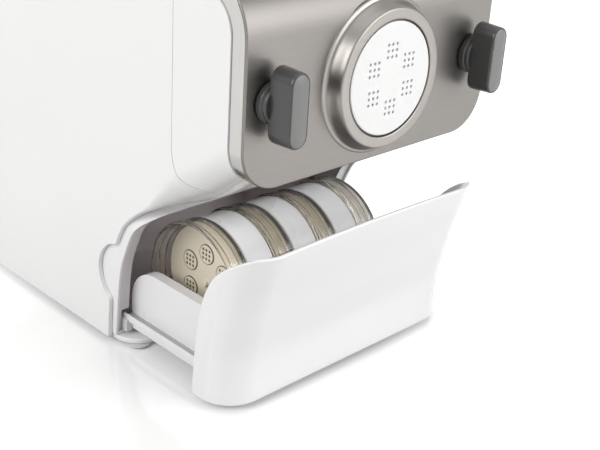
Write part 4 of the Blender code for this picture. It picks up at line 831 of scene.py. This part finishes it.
def face_plate(centre, level):
    """Plate in the open case: round pads with small holes, the pads' dark outlines, dark plugs in
    the holes as painted shade, and a nub.
    """
    plate = spun([(0, level), (38.3, level), (38.3, level - 1.8), (37.8, level - 2.2),
                  (0, level - 2.2)], centre,
                 axis="X", steps=96)
    holes = bmesh.new()
    pads, rings = [], []
    for group in range(6):
        angle = math.radians(28 + 60 * group)
        middle = (0, centre[1] + 19 * math.cos(angle), centre[2] + 19 * math.sin(angle))
        pads.append(spun([(0, level - 2.1), (6.6, level - 2.1), (6.6, level - 2.6),
                          (6.3, level - 2.9), (0, level - 2.9)], middle, axis="X", steps=40))
        rings.append(spun([(6.5, level - 2.1), (7.1, level - 2.1), (7.1, level - 2.5),
                           (6.8, level - 2.85), (6.5, level - 2.85)], middle, axis="X", steps=40))
        for column in (-1, 0, 1):
            for row in (-1, 0, 1):
                spot = (0, middle[1] + 3.1 * column, middle[2] + 3.1 * row)
                where = Matrix.Translation((level - 2.6, spot[1], spot[2]))
                where = where @ Matrix.Rotation(quarter, 4, "Y")
                bmesh.ops.create_cone(holes, cap_ends=True, segments=12, radius1=1.1, radius2=1.1,
                                      depth=1.7, matrix=where)
                # Dark plug in each hole: painted shade for the hole's shaded inside.
                rings.append(rod(1.0, spot, level - 2.84, level - 2.15, axis="X", steps=12))
    pads = carve(joined(*pads), solid(holes))
    nub = spun([(0, level - 2.1), (2.4, level - 2.1), (2.4, level - 3.6), (2.0, level - 4.1),
                (0, level - 4.1)],
               (0, centre[1] + 1, centre[2] - 2), axis="X", steps=32)
    return joined(plate, pads, nub), joined(*rings)


# Top of the machine


slope_angle = math.radians(55)


def on_slope(across, up, out):
    """A point on the panel's sloping top, measured from the middle of the slope."""
    distance, height = panel_path(panel_length - 20 + up, 0)
    return (across, distance - out * math.cos(slope_angle), height + out * math.sin(slope_angle))


def slope_form(rows):
    """Skins a row of (outline, height above the slope)."""
    return skinned([[on_slope(x, t, out) for x, t in outline] for outline, out in rows])


def make_controls():
    strip = slope_form([
        (rounded(75, -13, 13, 6, 6), -6), (rounded(75, -13, 13, 6, 6), 0.4),
        (rounded(74.7, -12.7, 12.7, 5.7, 5.7), 0.7), (rounded(74.2, -12.2, 12.2, 5.2, 5.2), 0.8)])
    names = ("power", "program", "extrude", "start")
    for index, name in enumerate(names):
        x = 10 + 18 * index
        carve(strip, slope_form([(circle(6.9, 64, x), -9), (circle(6.9, 64, x), 3)]))
        key = slope_form([
            (circle(6.5, 64, x), -4.9), (circle(6.5, 64, x), 2.0), (circle(6.3, 64, x), 2.4),
            (circle(5.8, 64, x), 2.6), (circle(5.2, 64, x), 2.57), (circle(4.6, 64, x), 2.35),
            (circle(2.0, 64, x), 2.2)])
        place(key, f"{name}_key_cap", key_grey, f"{name}_key", (f"{name}_button",),
              crease=35)
    window = rounded(30, -9, 9, 1.5, 1.5)
    seat = [(x - 38, t) for x, t in rounded(30.3, -9.3, 9.3, 1.6, 1.6)]
    carve(strip, slope_form([(seat, -1.2), (seat, 3)]))
    place(strip, "control_strip", gloss_black, "housing", ("control_panel",))
    glass = slope_form([([(x - 38, t) for x, t in window], -0.9),
                        ([(x - 38, t) for x, t in window], 0.9),
                        ([(x * 0.99 - 38, t * 0.97) for x, t in window], 1.1)])
    place(glass, "display_pane", display_black, "housing", ("display_window",))


def lid_rows(inset):
    """Sections of the lid: a low wall, a rounded shoulder and a slightly crowned top."""
    rows = [(290.3 - (3 if inset else 0), 0), (294, 0.2), (298, 0.9), (302, 2.6), (306, 5.8),
            (309.5, 10.4), (312.2, 16.5), (314.0, 23.5), (314.8, 30.5), (315.0, 38.0)]
    sections = []
    for height, draw in flowing(rows, 3):
        grow = inset + draw
        corner = 14 + draw * 0.5
        outline = rounded(99.5 - grow, 62.5 + grow, 213 - grow, corner, corner, 12)
        sections.append([(x, y, height - (inset if height > 294 else 0)) for x, y in outline])
    return skinned(sections)


def make_lid():
    centre = (0, 217.5, 294.5)
    lid = lid_rows(0)
    for side in (-1, 1):
        ends = sorted((side * 18.4, side * 38))
        add(lid, block(ends[0] + 0.4, ends[1] - 0.4, 206, 217.5, 292.5, 296.5))
        add(lid, rod(4.2, centre, *ends, axis="X"))
    add(lid, block(-22, 22, 57.5, 68, 290.3, 294.3))
    carve(lid, lid_rows(2.5), rod(2.3, centre, -110, 110, axis="X"))
    slot = pulled(rounded(35, 92, 99, 3.4, 3.4), "Z", 300, 320)
    carve(lid, slot)
    soften(lid, 0.4, 2, angle=50)
    place(lid, "clear_lid", clear, "lid", ("lid",), crease=50)
    bracket = block(-18, 18, 215.4, 225.9, 290.3, 294.8)
    add(bracket, rod(3.9, centre, -18, 18, axis="X"))
    carve(bracket, rod(2.3, centre, -110, 110, axis="X"))
    soften(bracket, 0.4)
    place(bracket, "hinge_block", pale_grey, "housing", ("hinge_bracket",))


def make_rear():
    grille = block(-40, 40, 317.3, 319.7, 70, 140)
    pitch = 58 / 9
    for index in range(9):
        low = 76 + pitch * index + pitch * 0.225
        slot = pulled(rounded(34, low, low + 3.5, 1.7, 1.7), "Y", 310, 330)
        carve(grille, slot)
    soften(grille, 0.35)
    place(grille, "rear_grille", pale_grey, "housing", ("vent_grille",))
    profile = [(4, 309.7), (9, 309.7), (9, 318.9), (8.4, 319.5), (7.6, 319.7), (5.4, 319.7),
               (4.6, 319.3), (4, 318.4)]
    inlet = spun(profile, (80, 0, 32), steps=64)
    place(inlet, "cord_inlet", deep_grey_and_gap_shade, "housing", ("power_inlet",))


def dress(nodes, material):
    for name in nodes:
        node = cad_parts[name]
        node.data.materials.clear()
        node.data.materials.append(material)


def dress_inside():
    dress(("panel_backplate", "chassis", "motor_cradle"), inner_grey)
    dress(("gearbox_case", "gearbox_cover", "cooling_fan", "shaft_seal"), deep_grey_and_gap_shade)
    dress(("mixing_chamber", "extruding_tube", "kneading_screw", "mixing_paddle"), food_white)
    dress(("knob_stud_left", "knob_stud_right", "drive_shaft", "front_bearing", "rear_bearing",
           "idler_pin", "motor_pinion", "motor_shaft", "hinge_pin"), steel)
    dress(("drawer_rail_left", "drawer_rail_right"), pale_grey)
    dress(("output_gear", "idler_gear"), nylon)
    dress(("motor_body",), motor_metal)
    dress(("armature",), winding)
    dress(("circuit_board",), green)


# Camera, floor and light

# The camera's angles are in degrees, and places and sizes from here on in metres.
camera_angles = (45.94183, 24.5, 3.72553)
camera_spot = (-0.48841, face_place - 0.41577, 0.39374)
camera_lens = 66.465
sensor_width = 36

floor_reach = 6
floor_white = (0.92, 0.92, 0.92, 1)
floor_bounce = (0.5, 0.5, 0.5, 1)
# The floor's glow is painted light: weakest round this point at the machine's left front, so that
# its shade shows there, and stronger farther away.
glow_centre = (-0.12, -0.12, 0)
glow_fade = {"From Min": 0.15, "From Max": 0.34, "To Min": 0.10, "To Max": 0.5}

fill_colour = (1.0, 0.985, 0.97, 1)
fill_strength = 0.42
lamp_aim = (0, 0, 0.13)
# Name, place, size and watts
lamps = [
    ("key", (-2.6, 0.1, 1.7), (2.0, 1.8), 55), ("front", (1.5, -2.8, 1.2), (2.8, 2.0), 75),
    ("top", (0.2, 0.1, 3.2), (2.4, 2.4), 14),
]


def make_camera():
    turn, tilt, roll = (math.radians(angle) for angle in camera_angles)
    ahead = Vector((math.sin(turn) * math.cos(tilt), math.cos(turn) * math.cos(tilt),
                    -math.sin(tilt)))
    level = Vector((math.cos(turn), -math.sin(turn), 0))
    above = level.cross(ahead)
    right = math.cos(roll) * level + math.sin(roll) * above
    up = math.cos(roll) * above - math.sin(roll) * level
    camera = bpy.data.objects.new("camera", bpy.data.cameras.new("camera"))
    camera.data.lens = camera_lens
    camera.data.sensor_width = sensor_width
    pose = Matrix((right, up, -ahead)).transposed().to_4x4()
    pose.translation = camera_spot
    camera.matrix_world = pose
    bpy.context.scene.collection.objects.link(camera)
    bpy.context.scene.camera = camera


def seen_share(tree):
    """1 where a surface is seen, also mirrored or through glass, and 0 where it only lights."""
    path = tree.nodes.new("ShaderNodeLightPath")
    total = path.outputs["Is Camera Ray"]
    for name in ("Is Glossy Ray", "Is Transmission Ray"):
        larger = tree.nodes.new("ShaderNodeMath")
        larger.operation = "MAXIMUM"
        tree.links.new(total, larger.inputs[0])
        tree.links.new(path.outputs[name], larger.inputs[1])
        total = larger.outputs[0]
    return total


def make_floor():
    bm = bmesh.new()
    bmesh.ops.create_grid(bm, x_segments=2, y_segments=2, size=floor_reach)
    mesh = bpy.data.meshes.new("floor")
    bm.to_mesh(mesh)
    bm.free()
    floor = bpy.data.objects.new("floor", mesh)
    bpy.context.scene.collection.objects.link(floor)
    material = bpy.data.materials.new("floor white")
    material.use_nodes = True
    tree = material.node_tree
    shader = tree.nodes["Principled BSDF"]
    shader.inputs["Base Color"].default_value = floor_white
    shader.inputs["Roughness"].default_value = 0.09
    shader.inputs["IOR"].default_value = 1.8
    bounce = tree.nodes.new("ShaderNodeBsdfDiffuse")
    bounce.inputs["Color"].default_value = floor_bounce
    where = tree.nodes.new("ShaderNodeTexCoord").outputs["Object"]
    away = tree.nodes.new("ShaderNodeVectorMath")
    away.operation = "DISTANCE"
    away.inputs[1].default_value = glow_centre
    fade = tree.nodes.new("ShaderNodeMapRange")
    for name, value in glow_fade.items():
        fade.inputs[name].default_value = value
    tree.links.new(where, away.inputs[0])
    tree.links.new(away.outputs["Value"], fade.inputs["Value"])
    glow = tree.nodes.new("ShaderNodeEmission")
    tree.links.new(fade.outputs["Result"], glow.inputs["Strength"])
    both = tree.nodes.new("ShaderNodeAddShader")
    mix = tree.nodes.new("ShaderNodeMixShader")
    tree.links.new(shader.outputs[0], both.inputs[0])
    tree.links.new(glow.outputs[0], both.inputs[1])
    tree.links.new(seen_share(tree), mix.inputs[0])
    tree.links.new(bounce.outputs[0], mix.inputs[1])
    tree.links.new(both.outputs[0], mix.inputs[2])
    tree.links.new(mix.outputs[0], tree.nodes["Material Output"].inputs["Surface"])
    mesh.materials.append(material)


def make_world():
    world = bpy.data.worlds.new("studio")
    bpy.context.scene.world = world
    world.use_nodes = True
    tree = world.node_tree
    background = tree.nodes["Background"]
    background.inputs["Color"].default_value = fill_colour
    background.inputs["Strength"].default_value = fill_strength
    seen = tree.nodes.new("ShaderNodeBackground")
    seen.inputs["Color"].default_value = (1, 1, 1, 1)
    seen.inputs["Strength"].default_value = 1.0
    mix = tree.nodes.new("ShaderNodeMixShader")
    tree.links.new(seen_share(tree), mix.inputs[0])
    tree.links.new(background.outputs[0], mix.inputs[1])
    tree.links.new(seen.outputs[0], mix.inputs[2])
    tree.links.new(mix.outputs[0], tree.nodes["World Output"].inputs["Surface"])


def lamp(name, where, size, power):
    light = bpy.data.lights.new(name, "AREA")
    light.shape = "RECTANGLE"
    light.size, light.size_y = size
    light.energy = power
    holder = bpy.data.objects.new(name, light)
    holder.location = where
    holder.rotation_euler = (Vector(lamp_aim) - Vector(where)).to_track_quat("-Z", "Y").to_euler()
    bpy.context.scene.collection.objects.link(holder)


def make_light():
    for row in lamps:
        lamp(*row)


make_camera()
make_floor()
make_world()
make_light()
make_collar()
make_housing()
make_panel()
make_disc()
make_knobs()
make_bay()
make_base()
make_drawer_front()
make_tray()
make_stored()
make_controls()
make_lid()
make_rear()
dress_inside()

bpy.context.scene.view_settings.view_transform = "Standard"
